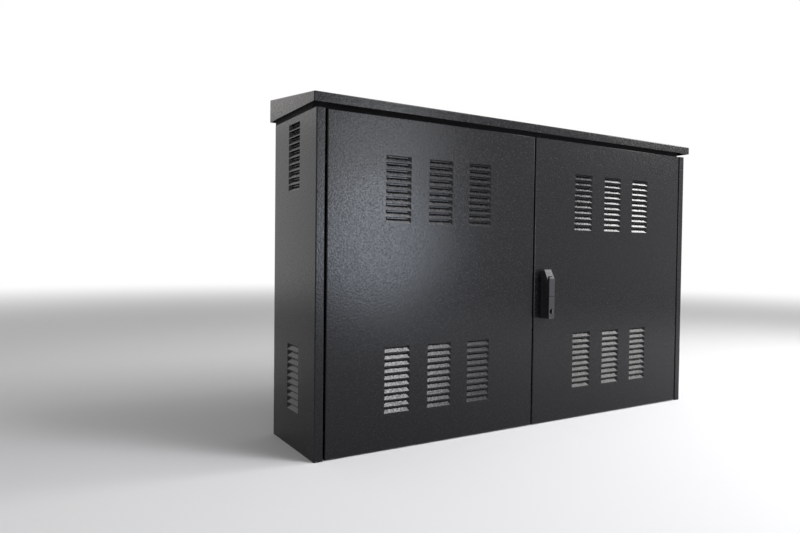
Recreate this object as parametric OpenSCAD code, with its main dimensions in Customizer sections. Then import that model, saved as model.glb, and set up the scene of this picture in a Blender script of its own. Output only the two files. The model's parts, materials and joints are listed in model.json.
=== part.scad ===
// Roadside utility cabinet with two louvred doors, a sloping roof hood and a swing-handle rod lock.
// X runs across the front, Y to the back and Z up. The origin lies on the ground under the middle of
// the body, and the doors face -Y. Sizes are in millimetres.

/* [Body] */
// Width over the side panels
body_w = 1200; // [1000:10:1600]
// Depth over the side panels
body_d = 245; // [230:5:400]
// Height of the body without its roof
body_h = 735; // [700:5:1100]
// Thickness of the folded sheet
sheet_t = 1.5; // [1.2:0.1:2]
// Outer radius of every bend
bend_r = 2.5; // [2.2:0.1:3]
// Width of the side panel's flange beside the door
side_flange_w = 20.5; // [18:0.5:30]
// Width of the rear flange that the back panel lies behind
rear_flange_w = 20; // [15:1:35]
// Depth of the recess that a door closes into
rebate_d = 25; // [24:0.5:32]
// Width of the land that the door gasket presses on at the hinge side
land_w = 35; // [33:1:45]
// Height of the sill flange and of the header flange
sill_h = 30; // [28:1:40]

/* [Doors] */
// Depth of a folded door pan
door_d = 20; // [19:0.5:21]
// Gap between a door and the side panel's flange
side_gap = 4.5; // [4:0.5:7]
// Gap between the two doors
centre_gap = 4; // [3:0.5:6]
// Gap below the doors
door_bottom_gap = 2; // [1:0.5:5]
// Width of the pan's rear flange at the free edge, top and bottom
door_flange_w = 20; // [18:1:22]
// Width of the pan's rear flange at the hinge side
hinge_flange_w = 30; // [29:1:34]
// Width of the foam gasket
gasket_w = 7; // [5:0.5:8]
// Gap between the closed gasket and the land it faces
gasket_gap = 0.3; // [0.2:0.1:0.6]
// Running gap between the centre seal and the other door
seal_gap = 1; // [0.8:0.1:1.5]

/* [Louvres] */
// Length of one louvre
louvre_w = 65; // [40:1:75]
// Height of one louvre's opening
louvre_h = 12.7; // [11:0.1:13]
// Distance from one louvre to the next
louvre_pitch = 15; // [15:0.5:18]
// Louvres in one bank
louvre_count = 10; // [4:1:11]
// Depth that a louvre is pressed inward
louvre_depth = 6; // [5:0.5:8]
// Height of the sloping lower part of a louvre
louvre_ramp_h = 9.5; // [7:0.5:10]
// Length of the sloping end of a louvre
louvre_end_run = 6; // [4:0.5:8]
// Distance from the top of the pressed blade down from the edge of its opening
louvre_lip = 0.3; // [0.2:0.1:0.6]
// Banks side by side on a door
bank_columns = 3; // [1:1:3]
// Distance between two banks on a door
bank_spacing = 113.5; // [90:0.5:125]
// Height of the middle of the lower banks
lower_bank_z = 156.5; // [130:0.5:180]
// Distance from the body's upper end down to the middle of the doors' upper banks
upper_bank_drop = 158; // [150:1:215]
// Distance from the body's upper end down to the middle of a side panel's upper bank
side_upper_bank_drop = 88; // [85:1:175]

/* [Roof] */
// Distance that the hood stands out all round
roof_overhang = 10; // [8:1:30]
// Height of the hood's lower edge over the body
roof_gap = 9; // [6:1:20]
// Height of the hood's front skirt
skirt_h = 20.5; // [15:0.5:40]
// Rise of the hood from front to back
roof_rise = 32.5; // [15:0.5:60]
// Distance from the side of the body to the middle of a roof bearer
bearer_edge = 120; // [110:5:250]
// Width of a roof bearer
bearer_w = 30; // [24:1:50]
// Thickness of a roof bearer
bearer_t = 2; // [1.5:0.5:3]
// Distance of a roof screw from the end of its bearer
roof_screw_inset = 30; // [20:1:50]
// Length of a roof screw above the bearer's foot
roof_screw_l = 6; // [5:0.5:10]

/* [Hinges] */
// Distance of the hinge axis from the door's edge
hinge_inset = 10; // [10:0.5:11]
// Distance of the hinge axis behind the door's face
hinge_setback = 7; // [7:0.5:7.5]
// Radius of a hinge knuckle
knuckle_r = 5; // [4.5:0.1:5]
// Radius of a hinge pin
pin_r = 2.5; // [2:0.1:3]
// Running clearance round a pin, shaft or bolt
running_gap = 0.05; // [0.03:0.01:0.08]
// Height of one knuckle
knuckle_h = 24; // [16:1:40]
// Distance from the end of the door to the middle of a hinge
hinge_end = 90; // [60:5:150]
// Thickness of a hinge's arm and leaf
hinge_t = 4; // [3:0.5:4]

/* [Handle] */
// Distance of the handle from the middle of the cabinet
handle_x = 35; // [35:0.5:45]
// Height of the handle's spindle
spindle_z = 387; // [350:1:420]
// Width of the lever and the lock housing
handle_w = 19; // [16:0.5:22]
// Distance that the handle stands out from the door
handle_proud = 30; // [28:1:34]
// Radius of the turning head
head_r = 12; // [11.5:0.1:13]
// Thickness of the handle's base
base_t = 7; // [6:0.5:9]
// Distance from the spindle down to the lever's end
lever_reach = 55.2; // [48:0.2:70]
// Distance from the spindle down to the end of the base
base_reach = 114; // [104:1:140]
// Gap between the lever's end and the lock housing
seam = 1.3; // [1.2:0.1:2]
// Radius of the handle's spindle
spindle_r = 5; // [4.5:0.1:5.5]
// Radius of the lock cylinder
cylinder_r = 7.5; // [5.5:0.1:7.5]
// Width of the key slot
key_slot_w = 3; // [1.5:0.1:3.5]
// Height of the key slot
key_slot_h = 12; // [7:0.5:12]

/* [Rod lock] */
// Tooth module of pinion and racks
tooth_module = 1.5; // [1.4:0.05:1.6]
// Teeth on the pinion
pinion_teeth = 15; // [13:2:17]
// Play between meshing teeth
backlash = 0.25; // [0.2:0.05:0.4]
// Thickness of pinion and rods
rod_t = 4; // [3:0.5:5]
// Width of a rod
rod_w = 10; // [8:0.5:12]
// Distance from a rod's end to the flange it locks behind, with the lock at rest
rod_stop = 1; // [0.8:0.1:3]
// Distance from the land to the front of the rods
rod_setback = 5.5; // [5:0.5:7]
// Clearance of a rod in its case and guides
rod_gap = 0.2; // [0.15:0.05:0.3]
// Wall of the lock case
case_wall = 2; // [1.5:0.5:3]
// Distance of a rod guide from the rod's end
guide_end = 14; // [12:1:60]
// Height of a rod guide
guide_h = 12; // [8:1:20]

/* [Bolts] */
// Radius of a barrel bolt
bolt_r = 4; // [3:0.5:4]
// Length of a barrel bolt
bolt_l = 100; // [90:5:160]
// Distance of the bolts from the left door's free edge
bolt_inset = 12; // [11:0.5:14]
// Height of a bolt's guide loop
loop_h = 12; // [8:1:16]
// Distance between the two loops of a barrel
loop_spacing = 58; // [50:1:70]
// Length of the bolt's side knob
knob_l = 18; // [14:1:24]

/* [Inside] */
// Distance from the side of the body to the mounting plate
plate_side_gap = 60; // [50:5:150]
// Distance from the end of the body to the mounting plate
plate_end_gap = 57.5; // [50:0.5:120]
// Thickness of the mounting plate
plate_t = 2; // [1.5:0.5:3]
// Distance from the back panel to the mounting plate
plate_standoff = 18; // [12:1:40]
// Distance of a stud from the edges of the mounting plate
stud_inset = 25; // [15:1:60]
// Distance of the earth stud from the side edge of the mounting plate
earth_inset = 100; // [70:5:300]
// Width of the gland plate
gland_w = 320; // [150:10:600]
// Depth of the gland plate
gland_d = 110; // [80:5:140]
// Overlap of the gland plate on the floor
gland_lap = 12; // [8:1:20]
// Distance of the gland plate's middle behind the middle of the body
gland_y = 10; // [0:1:20]
// Radius of the anchor holes in the floor
anchor_r = 6.5; // [4:0.5:8]
// Distance of the anchor holes from the side of the body
anchor_edge = 120; // [80:5:250]
// Distance of the anchor holes from the front and the back of the body
anchor_inset = 57.5; // [50:0.5:80]
// Radius of the fixing holes in the back panel
wall_hole_r = 5.5; // [3:0.5:7]
// Distance of the back panel's fixing holes from the side of the body
wall_hole_edge = 40; // [38:1:60]
// Distance of the back panel's fixing holes from its ends
wall_hole_end = 85; // [60:5:150]

/* [Hidden] */
$fn = 48;

black = "#1c1c1f";
zinc = "#b9bcc0";
rubber = "#0f0f10";
brass = "#b08d45";
eps = 1;

// Planes of the body
front_y = -body_d / 2;
back_y = body_d / 2;
wall_x = body_w / 2;
wall_in_x = wall_x - sheet_t;
return_x = wall_x - side_flange_w;
land_y = front_y + rebate_d;
land_x = return_x - land_w + sheet_t / 2;
back_panel_y = back_y - 2 * sheet_t;
back_panel_x = wall_x - bend_r;
flange_centre_y = land_y + sheet_t / 2;
bend_c = bend_r - sheet_t / 2;

// Doors
door_outer_x = return_x - side_gap;
door_inner_x = centre_gap / 2;
door_w = door_outer_x - door_inner_x;
door_h = body_h - door_bottom_gap;
door_back_y = front_y + door_d;
door_mid_x = (door_outer_x + door_inner_x) / 2;
axis_x = door_outer_x - hinge_inset;
axis_y = front_y + hinge_setback;
gasket_t = rebate_d - door_d - gasket_gap;
gasket_margin = 1;
gasket_edge = 8;

// Louvres
upper_bank_z = body_h - upper_bank_drop;
side_upper_bank_z = body_h - side_upper_bank_drop;
bank_h = (louvre_count - 1) * louvre_pitch + louvre_h;
ramp_slope = louvre_ramp_h / louvre_depth;
ramp_drop = sheet_t * sqrt(1 + pow(ramp_slope, 2));
end_slope = louvre_end_run / louvre_depth;
end_grow = sheet_t * sqrt(1 + pow(end_slope, 2));
shell_start = sheet_t / 3;
shell_back = louvre_depth + sheet_t;

// Hinges
hinge_zs = [door_bottom_gap + hinge_end, body_h - hinge_end];
knuckle_gap = 0.2;
arm_offset = 0.5;
arm_room = 2;
foot_w = 9;
foot_t = 1.5;
leaf_l = 28;
leaf_t = 2;
pin_head_r = 4;
pin_head_h = 1.5;
arm_reach = rebate_d - hinge_setback;
skin_v = sheet_t - hinge_setback;

// Handle
spindle_gap = 0.3;
head_back = base_t + spindle_gap;
lever_front = handle_proud;
lever_t = 12;
lever_nose_r = 8;
lever_end_r = 1;
lever_pin_r = 1.5;
lever_pin_p = lever_front - lever_nose_r;
lever_pin_z = spindle_z - 13;
pocket_gap = 0.4;
lever_w = handle_w - 0.5;
lever_end_z = spindle_z - lever_reach;
head_drop = 4.5;
head_top_z = spindle_z + head_r;
head_bottom_z = lever_pin_z - head_drop;
head_corner = 3.5;
head_crest_p = head_back + 6.7;
head_front_p = lever_pin_p + lever_pin_r + 2;
head_shoulder = 8;
head_brow_z = lever_pin_z + 2.5;
pocket_corner = 6;
head_sweep_r = norm([head_r, spindle_z - head_bottom_z]);
sweep_gap = 0.6;
base_block_z = spindle_z - head_sweep_r - sweep_gap;
base_block_t = lever_front - lever_t - sweep_gap;
base_corner = 4;
base_top_r = head_r - 1;
base_toe = 2;
housing_top_z = lever_end_z - seam;
base_end_z = spindle_z - base_reach;
cylinder_z = base_end_z + 20;
cylinder_depth = handle_proud - base_t - 2;
cylinder_recess = 0.6;
key_slot_depth = 10;
screw_r = 2.5;
handle_thread_r = screw_r - 0.5;
handle_thread_l = 4.5;
handle_screw_head_h = 3;
handle_screw_zs = [base_end_z + 6.5, housing_top_z - 8];

// Rod lock
pitch_r = tooth_module * pinion_teeth / 2;
tooth_pitch = PI * tooth_module;
addendum = 0.9 * tooth_module;
dedendum = 1.2 * tooth_module;
pressure_angle = 25;
tip_r = pitch_r + addendum;
root_r = pitch_r - dedendum;
base_circle_r = pitch_r * cos(pressure_angle);
tooth_half = 90 / pinion_teeth - backlash / 2 / pitch_r * 180 / PI;
rod_stroke = pitch_r * PI / 2;
rod_front_y = land_y + rod_setback;
rod_back_y = rod_front_y + rod_t;
rack_root_x = pitch_r + dedendum;
upper_rod_x = handle_x - rack_root_x - rod_w;
lower_rod_x = handle_x + rack_root_x;
rack_back = 0.5;
mesh_reach = 0.62;
rack_teeth = ceil((rod_stroke + 2 * tip_r * mesh_reach) / tooth_pitch) + 1;
rod_tail = 9;
rod_end_gap = 2.5;
case_x = rack_root_x + rod_w + rod_gap + case_wall;
case_z = rod_tail + rod_stroke + case_wall + rod_end_gap;
case_front_y = rod_front_y - rod_gap - case_wall;
case_back_y = rod_back_y + rod_gap;
pedestal_w = 22;
pedestal_h = 34;
key_flat = spindle_r * 1.4;
journal_r = 3;
upper_rod_end = body_h - sill_h - rod_stop;
lower_rod_end = sill_h + rod_stop;
guide_wall = 3;
cover_screw_r = 2;
ear_l = 7;
ear_h = 12;

// Bolts
bolt_x = -door_inner_x - bolt_inset;
bolt_clearance = 2;
bolt_y = land_y + sheet_t + bolt_clearance + bolt_r;
barrel_w = 18;
knob_r = 3;
grip_r = 5;
grip_l = 6;
bolt_nose = 2;
bolt_travel = 20;
bolt_show = 6;
barrel_top_z = upper_rod_end - bolt_show;

// Inside
deck_front_y = land_y;
deck_back_y = back_panel_y;
plate_y = back_panel_y - plate_standoff - plate_t;
stud_r = 3;
stud_collar_r = 7;
plate_w = body_w - 2 * plate_side_gap;
plate_h = body_h - 2 * plate_end_gap;
stud_x = plate_w / 2 - stud_inset;
stud_z = plate_h / 2 - stud_inset;
nut_r = 5.5;
nut_h = 5;
gland_t = 2;
gland_screw_r = 2.5;
gland_screw_head_r = 4.5;
gland_screw_head_h = 3;
mid_z = body_h / 2;
earth_x = plate_w / 2 - earth_inset;
thread_end = 1.5;
wall_hole_x = wall_x - wall_hole_edge;
anchor_x = wall_x - anchor_edge;
anchor_y = body_d / 2 - anchor_inset;

// Roof
bearer_x = wall_x - bearer_edge;
bearer_end_gap = 12;
roof_bearer_front_y = deck_front_y + bearer_end_gap;
roof_bearer_back_y = deck_back_y - bearer_end_gap;
roof_screw_head_h = 3;
roof_nut_h = 4;
hood_front_z = body_h + roof_gap + skirt_h;
hood_back_z = hood_front_z + roof_rise;
hood_bottom_z = body_h + roof_gap;
hood_front_y = front_y - roof_overhang;
hood_back_y = back_y + roof_overhang;
hood_x = wall_x + roof_overhang;
function roof_z(y) = hood_front_z + roof_rise * (y - hood_front_y) / (hood_back_y - hood_front_y);
roof_drop = sheet_t * norm([hood_back_y - hood_front_y, roof_rise]) / (hood_back_y - hood_front_y);

// Turns an outline drawn in Y and Z into a solid that runs along X from x0
module along_x(x0, length) {
  translate([x0, 0, 0]) rotate([90, 0, 90]) linear_extrude(length) children();
}

// Turns an outline drawn in X and Z into a solid that runs along Y from y0
module along_y(y0, length) {
  translate([0, y0 + length, 0]) rotate([90, 0, 0]) linear_extrude(length) children();
}

// A pin, bore or disc along X, centred on [y, z]
module round_x(r, x0, length, y, z) {
  translate([x0, y, z]) rotate([0, 90, 0]) cylinder(r = r, h = length);
}

// A pin, bore or disc along Y, centred on [x, z]
module round_y(r, y0, length, x, z) {
  translate([x, y0, z]) rotate([-90, 0, 0]) cylinder(r = r, h = length);
}

function unit(v) = v / norm(v);

// Section of a sheet folded at right angles: the path is its centre line, and each flat reaches a
// little way into the bends beside it
module folded_section(path, t = sheet_t, r = bend_c) {
  last = len(path) - 1;
  for (i = [0 : last - 1]) {
    d = unit(path[i + 1] - path[i]);
    n = [-d[1], d[0]] * t / 2;
    a = path[i] + (i > 0 ? d * r : [0, 0]);
    b = path[i + 1] - (i < last - 1 ? d * r : [0, 0]);
    a_nose = i > 0 ? [a - d * t / 4] : [];
    b_nose = i < last - 1 ? [b + d * t / 4] : [];
    polygon(concat([a + n, b + n], b_nose, [b - n, a - n], a_nose));
  }
  for (i = [1 : last - 1]) {
    before = unit(path[i] - path[i - 1]);
    after = unit(path[i + 1] - path[i]);
    c = path[i] + (after - before) * r;
    reach = r + t;
    translate(c) intersection() {
      difference() {
        circle(r + t / 2);
        circle(r - t / 2);
      }
      polygon([[0, 0], before * reach, (before - after) * reach, -after * reach]);
    }
  }
}

// Rectangle with its two front corners rounded
module front_rounded(w, d, r) {
  translate([r, 0]) square([w - 2 * r, d]);
  translate([0, r]) square([w, d - r]);
  for (x = [r, w - r]) translate([x, r]) circle(r);
}

// Block with all four edges of its front face rounded
module soft_front_block(w, d, h, r) {
  intersection() {
    linear_extrude(h) front_rounded(w, d, r);
    along_x(0, w) mirror([1, -1]) front_rounded(h, d, r);
  }
}

// One bank of louvres: the outer face of the sheet is Y = 0, and the louvres go inward along +Y
function louvre_z(i) = (i - (louvre_count - 1) / 2) * louvre_pitch - louvre_h / 2;

module louvre_voids() {
  intersection() {
    along_x(-louvre_w, 2 * louvre_w) for (i = [0 : louvre_count - 1])
      translate([0, louvre_z(i)]) polygon([
        [-eps, 0], [0, 0], [louvre_depth, louvre_ramp_h],
        [louvre_depth, louvre_h], [-eps, louvre_h]
      ]);
    translate([0, 0, -bank_h]) linear_extrude(2 * bank_h) polygon([
      [-louvre_w / 2, -eps], [-louvre_w / 2, 0], [louvre_end_run - louvre_w / 2, louvre_depth],
      [louvre_w / 2 - louvre_end_run, louvre_depth], [louvre_w / 2, 0], [louvre_w / 2, -eps]
    ]);
  }
}

module louvre_shells() {
  front_half = louvre_w / 2 - end_slope * shell_start + end_grow;
  back_half = louvre_w / 2 - end_slope * shell_back + end_grow;
  intersection() {
    along_x(-louvre_w, 2 * louvre_w) for (i = [0 : louvre_count - 1])
      translate([0, louvre_z(i)]) polygon([
        [shell_start, ramp_slope * shell_start - ramp_drop],
        [shell_back, ramp_slope * shell_back - ramp_drop],
        [shell_back, louvre_h - louvre_lip], [shell_start, louvre_h - louvre_lip]
      ]);
    translate([0, 0, -bank_h]) linear_extrude(2 * bank_h) polygon([
      [-front_half, shell_start], [-back_half, shell_back],
      [back_half, shell_back], [front_half, shell_start]
    ]);
  }
}

// Sheet with louvre banks at the given places, each [x, y, z, turn about Z]
module louvred(places) {
  difference() {
    union() {
      children();
      for (p = places) translate([p[0], p[1], p[2]]) rotate([0, 0, p[3]]) louvre_shells();
    }
    for (p = places) translate([p[0], p[1], p[2]]) rotate([0, 0, p[3]]) louvre_voids();
  }
}

module side_panel() {
  h = sheet_t / 2;
  color(black) louvred([
    [-wall_x, 0, lower_bank_z, -90],
    [-wall_x, 0, side_upper_bank_z, -90]
  ])
    linear_extrude(body_h) folded_section([
      [-land_x, flange_centre_y],
      [-return_x - h, flange_centre_y],
      [-return_x - h, front_y + h],
      [-wall_x + h, front_y + h],
      [-wall_x + h, back_y - h],
      [-wall_x + rear_flange_w, back_y - h]
    ]);
}

module side_panel_left() { side_panel(); }
module side_panel_right() { mirror([1, 0, 0]) side_panel(); }

module back_panel() {
  color(black) difference() {
    translate([-back_panel_x, back_panel_y, 0]) cube([2 * back_panel_x, sheet_t, body_h]);
    for (x = [-wall_hole_x, wall_hole_x], z = [wall_hole_end, body_h - wall_hole_end])
      round_y(wall_hole_r, back_panel_y - eps, sheet_t + 2 * eps, x, z);
  }
}

// Floor or top: a sheet with one flange folded at its front edge, cut to fit between the lands
module deck() {
  h = sheet_t / 2;
  flat_y = land_y + 2 * bend_r;
  difference() {
    union() {
      along_x(-wall_in_x, 2 * wall_in_x)
        folded_section([[flange_centre_y, sill_h], [flange_centre_y, h], [0, h]]);
      translate([-wall_in_x, flat_y, 0]) cube([2 * wall_in_x, deck_back_y - flat_y, sheet_t]);
    }
    for (s = [-1, 1]) translate([s * (land_x + wall_x) / 2, land_y, sill_h / 2])
      cube([wall_x - land_x, 2 * bend_r, sill_h + 2 * eps], center = true);
  }
}

module floor_panel() {
  color(black) difference() {
    deck();
    translate([0, gland_y, 0])
      cube([gland_w - 2 * gland_lap, gland_d - 2 * gland_lap, 4 * sheet_t], center = true);
    for (x = [-anchor_x, anchor_x], y = [-anchor_y, anchor_y])
      translate([x, y, -eps]) cylinder(r = anchor_r, h = sheet_t + 2 * eps);
    gland_holes();
  }
}

module top_panel() {
  color(black) difference() {
    translate([0, 0, body_h]) mirror([0, 0, 1]) deck();
    roof_screw_places() translate([0, 0, -sheet_t - eps]) cylinder(r = screw_r, h = sheet_t + 2 * eps);
  }
}

// Convex outline with every corner rounded
module softened(points, r) {
  n = len(points);
  for (i = [0 : n - 1]) {
    a = unit(points[(i + n - 1) % n] - points[i]);
    b = unit(points[(i + 1) % n] - points[i]);
    half = acos(a * b) / 2;
    translate(points[i] + unit(a + b) * r / sin(half)) circle(r);
  }
  polygon([
    for (i = [0 : n - 1])
      let (a = unit(points[(i + n - 1) % n] - points[i]), b = unit(points[(i + 1) % n] - points[i]))
      let (run = r / tan(acos(a * b) / 2))
      each [points[i] + a * run, points[i] + b * run]
  ]);
}

// Roof hood: a sloping top with a skirt all round, open below, with bent edges between them
module hood_outline(inset, drop, r) {
  front = hood_front_y + inset;
  back = hood_back_y - inset;
  foot = hood_bottom_z - 2 * bend_r;
  softened([[front, foot], [back, foot], [back, roof_z(back) - drop], [front, roof_z(front) - drop]], r);
}

// The hood's form, set in from its outer faces, with its edges and corners bent to radius r
module hood_form(inset, drop, r, bottom) {
  half_w = hood_x - inset;
  front = hood_front_y + inset;
  back = hood_back_y - inset;
  slope = atan(roof_rise / (hood_back_y - hood_front_y));
  run = 2 * (hood_back_y - hood_front_y);
  intersection() {
    along_x(-half_w, 2 * half_w) hood_outline(inset, drop, r);
    translate([0, hood_front_y, hood_front_z - drop]) rotate([slope, 0, 0]) along_y(-run / 4, run)
      softened([[-half_w, -run / 2], [half_w, -run / 2], [half_w, 0], [-half_w, 0]], r);
    translate([0, 0, bottom]) linear_extrude(run)
      softened([[-half_w, front], [half_w, front], [half_w, back], [-half_w, back]], r);
  }
}

module roof_hood() {
  color(black) difference() {
    hood_form(0, 0, bend_r, hood_bottom_z);
    hood_form(sheet_t, roof_drop, bend_r - sheet_t, hood_bottom_z - eps);
  }
}

// Roof bearer: a strip bent into a tapering frame between the top panel and the hood
module bearer_outline(inset) {
  front = roof_bearer_front_y + inset;
  back = roof_bearer_back_y - inset;
  polygon([
    [front, body_h + inset],
    [back, body_h + inset],
    [back, roof_z(back) - roof_drop - inset],
    [front, roof_z(front) - roof_drop - inset]
  ]);
}

module roof_bearer() {
  color(zinc) difference() {
    along_x(bearer_x - bearer_w / 2, bearer_w) difference() {
      bearer_outline(0);
      bearer_outline(bearer_t);
    }
    roof_screw_places() translate([0, 0, -eps]) cylinder(r = screw_r, h = bearer_t + 2 * eps);
  }
}

module roof_bearer_left() { mirror([1, 0, 0]) roof_bearer(); }
module roof_bearer_right() { roof_bearer(); }

// Children stand on the top panel at each roof screw
module roof_screw_places() {
  ys = [roof_bearer_front_y + roof_screw_inset, roof_bearer_back_y - roof_screw_inset];
  for (x = [-bearer_x, bearer_x], y = ys) translate([x, y, body_h]) children();
}

module roof_screws() {
  color(zinc) roof_screw_places() {
    translate([0, 0, -sheet_t])
      cylinder(r = screw_r - running_gap, h = sheet_t + bearer_t + roof_screw_l);
    translate([0, 0, -sheet_t - roof_screw_head_h])
      cylinder(r = 2 * screw_r, h = roof_screw_head_h, $fn = 6);
    translate([0, 0, bearer_t]) cylinder(r = 2 * screw_r, h = roof_nut_h, $fn = 6);
  }
}

// Children stand on the floor at each gland plate screw
module gland_screw_places() {
  edge = gland_lap / 2;
  for (x = [edge - gland_w / 2, 0, gland_w / 2 - edge], y = [edge - gland_d / 2, gland_d / 2 - edge])
    translate([x, gland_y + y, sheet_t]) children();
}

module gland_holes() {
  gland_screw_places() translate([0, 0, -5 * sheet_t])
    cylinder(r = gland_screw_r, h = 10 * sheet_t);
}

module gland_plate() {
  color(zinc) difference() {
    translate([-gland_w / 2, gland_y - gland_d / 2, sheet_t]) cube([gland_w, gland_d, gland_t]);
    gland_holes();
  }
}

module gland_screws() {
  color(zinc) gland_screw_places() {
    translate([0, 0, -sheet_t]) cylinder(r = gland_screw_r - running_gap, h = sheet_t + gland_t);
    translate([0, 0, gland_t]) cylinder(r = gland_screw_head_r, h = gland_screw_head_h);
  }
}

// Children lie at each stud of the mounting plate, on the back panel's inner face
module stud_places() {
  for (x = [-stud_x, stud_x], z = [mid_z - stud_z, mid_z + stud_z])
    translate([x, back_panel_y, z]) children();
}

module mounting_plate() {
  color(zinc) difference() {
    translate([-plate_w / 2, plate_y, mid_z - plate_h / 2]) cube([plate_w, plate_t, plate_h]);
    stud_places() round_y(stud_r + running_gap, -plate_standoff - plate_t - eps, plate_t + 2 * eps, 0, 0);
    round_y(stud_r + running_gap, plate_y - eps, plate_t + 2 * eps, earth_x, mid_z - stud_z);
  }
}

module plate_studs() {
  color(zinc) stud_places() {
    round_y(stud_collar_r, -plate_standoff, plate_standoff, 0, 0);
    round_y(stud_r, -plate_standoff - plate_t - nut_h - thread_end, plate_standoff, 0, 0);
  }
}

module nut(y) {
  difference() {
    translate([0, y, 0]) rotate([90, 0, 0]) cylinder(r = nut_r, h = nut_h, $fn = 6);
    round_y(stud_r + running_gap, y - nut_h - eps, nut_h + 2 * eps, 0, 0);
  }
}

module plate_nuts() {
  color(zinc) stud_places() nut(-plate_standoff - plate_t);
}

module earth_stud() {
  washer_h = 1.5;
  tail = nut_h + thread_end;
  color(brass) translate([earth_x, plate_y, mid_z - stud_z]) {
    round_y(stud_r, -tail - nut_h - washer_h, plate_t + 2 * tail + nut_h, 0, 0);
    round_y(2 * stud_r, -washer_h, washer_h, 0, 0);
    translate([0, -washer_h, 0]) rotate([90, 0, 0]) cylinder(r = nut_r, h = nut_h, $fn = 6);
    translate([0, plate_t + nut_h, 0]) rotate([90, 0, 0]) cylinder(r = nut_r, h = nut_h, $fn = 6);
  }
}

// Children lie at each hinge of the left door: the origin is the hinge axis, +X points to the
// door's free edge and the two knuckles meet at Z = 0
module hinge_places() {
  for (z = hinge_zs) translate([-axis_x, axis_y, z]) children();
}

module hinge_arms() {
  arm_x = arm_offset;
  color(zinc) hinge_places() difference() {
    translate([0, 0, -knuckle_h]) {
      cylinder(r = knuckle_r, h = knuckle_h - knuckle_gap);
      translate([arm_x, 0, 0]) cube([hinge_t, arm_reach, knuckle_h - knuckle_gap]);
      translate([arm_x, arm_reach - foot_t, 0]) cube([foot_w, foot_t, knuckle_h - knuckle_gap]);
    }
    translate([0, 0, -knuckle_h - eps]) cylinder(r = pin_r, h = knuckle_h + 2 * eps);
  }
}

module hinge_pins() {
  color(zinc) hinge_places() {
    translate([0, 0, -knuckle_h]) cylinder(r = pin_r, h = 2 * knuckle_h);
    translate([0, 0, knuckle_h]) cylinder(r = pin_head_r, h = pin_head_h);
  }
}

module hinge_leaves() {
  color(zinc) hinge_places() difference() {
    union() {
      cylinder(r = knuckle_r, h = knuckle_h - knuckle_gap);
      translate([0, skin_v, 0]) cube([leaf_l, leaf_t, knuckle_h - knuckle_gap]);
    }
    translate([0, 0, -eps]) cylinder(r = pin_r + running_gap, h = knuckle_h + 2 * eps);
  }
}

module hinge_arms_left() { hinge_arms(); }
module hinge_arms_right() { mirror([1, 0, 0]) hinge_arms(); }
module hinge_pins_left() { hinge_pins(); }
module hinge_pins_right() { mirror([1, 0, 0]) hinge_pins(); }
module hinge_leaves_left() { hinge_leaves(); }
module hinge_leaves_right() { mirror([1, 0, 0]) hinge_leaves(); }

// Notch in the pan's edge that lets the frame arm through as the door swings
module hinge_notches() {
  notch_front = bend_r - hinge_setback;
  notch_inner = arm_offset + hinge_t + arm_room;
  hinge_places() translate([-hinge_inset - eps, notch_front, -knuckle_h - arm_room])
    cube([notch_inner + hinge_inset + eps, door_d, knuckle_h + 2 * arm_room]);
}

// Left-hand door pan: skin, four returns and four rear flanges, with its louvres
module door_pan() {
  banks = [for (c = [0 : bank_columns - 1], z = [lower_bank_z, upper_bank_z])
    [-door_mid_x + (c - (bank_columns - 1) / 2) * bank_spacing, front_y, z, 0]];
  louvred(banks) difference() {
    translate([-door_outer_x, front_y, door_bottom_gap])
      soft_front_block(door_w, door_d, door_h, bend_r);
    translate([-door_outer_x + sheet_t, front_y + sheet_t, door_bottom_gap + sheet_t]) intersection() {
      soft_front_block(door_w - 2 * sheet_t, door_d, door_h - 2 * sheet_t, bend_r - sheet_t);
      cube([door_w, door_d - 2 * sheet_t, door_h]);
    }
    translate([-door_outer_x + hinge_flange_w, front_y + door_d / 2, door_bottom_gap + door_flange_w])
      cube([door_w - hinge_flange_w - door_flange_w, door_d, door_h - 2 * door_flange_w]);
    hinge_notches();
  }
}

module left_door_panel() { color(black) door_pan(); }

module right_door_panel() {
  color(black) difference() {
    mirror([1, 0, 0]) door_pan();
    round_y(spindle_r + 1, front_y - eps, sheet_t + 2 * eps, handle_x, spindle_z);
    for (z = handle_screw_zs) round_y(screw_r, front_y - eps, sheet_t + 2 * eps, handle_x, z);
  }
}

// Foam gasket on three sides of the left door's rear flange
module door_gasket() {
  outer_x = -axis_x + hinge_inset + gasket_margin;
  inner_x = -door_inner_x - 1;
  low_z = door_bottom_gap + gasket_edge;
  high_z = body_h - gasket_edge;
  color(rubber) along_y(door_back_y, gasket_t) difference() {
    translate([outer_x, low_z]) square([inner_x - outer_x, high_z - low_z]);
    translate([outer_x + gasket_w, low_z + gasket_w])
      square([inner_x - outer_x, high_z - low_z - 2 * gasket_w]);
  }
}

module left_door_gasket() { door_gasket(); }
module right_door_gasket() { mirror([1, 0, 0]) door_gasket(); }

// Seal strip on the left door's free edge that closes the gap between the doors
module centre_seal() {
  seal_d = 12;
  color(rubber) translate([-door_inner_x, front_y + bend_r + 1.5, door_bottom_gap + bend_r])
    cube([centre_gap - seal_gap, seal_d, door_h - 2 * bend_r]);
}

// Barrel bolt of the left door, drawn for its upper end
module bolt_barrel() {
  plate_l = loop_spacing + loop_h;
  low_z = barrel_top_z - plate_l;
  loop_d = bolt_y + bolt_r + leaf_t - door_back_y;
  color(zinc) difference() {
    translate([bolt_x - barrel_w / 2, door_back_y, 0]) {
      translate([0, 0, low_z]) cube([barrel_w, leaf_t, plate_l]);
      for (z = [low_z, barrel_top_z - loop_h]) translate([0, 0, z]) cube([barrel_w, loop_d, loop_h]);
    }
    translate([bolt_x, bolt_y, low_z - eps]) cylinder(r = bolt_r + running_gap, h = plate_l + 2 * eps);
  }
}

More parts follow.
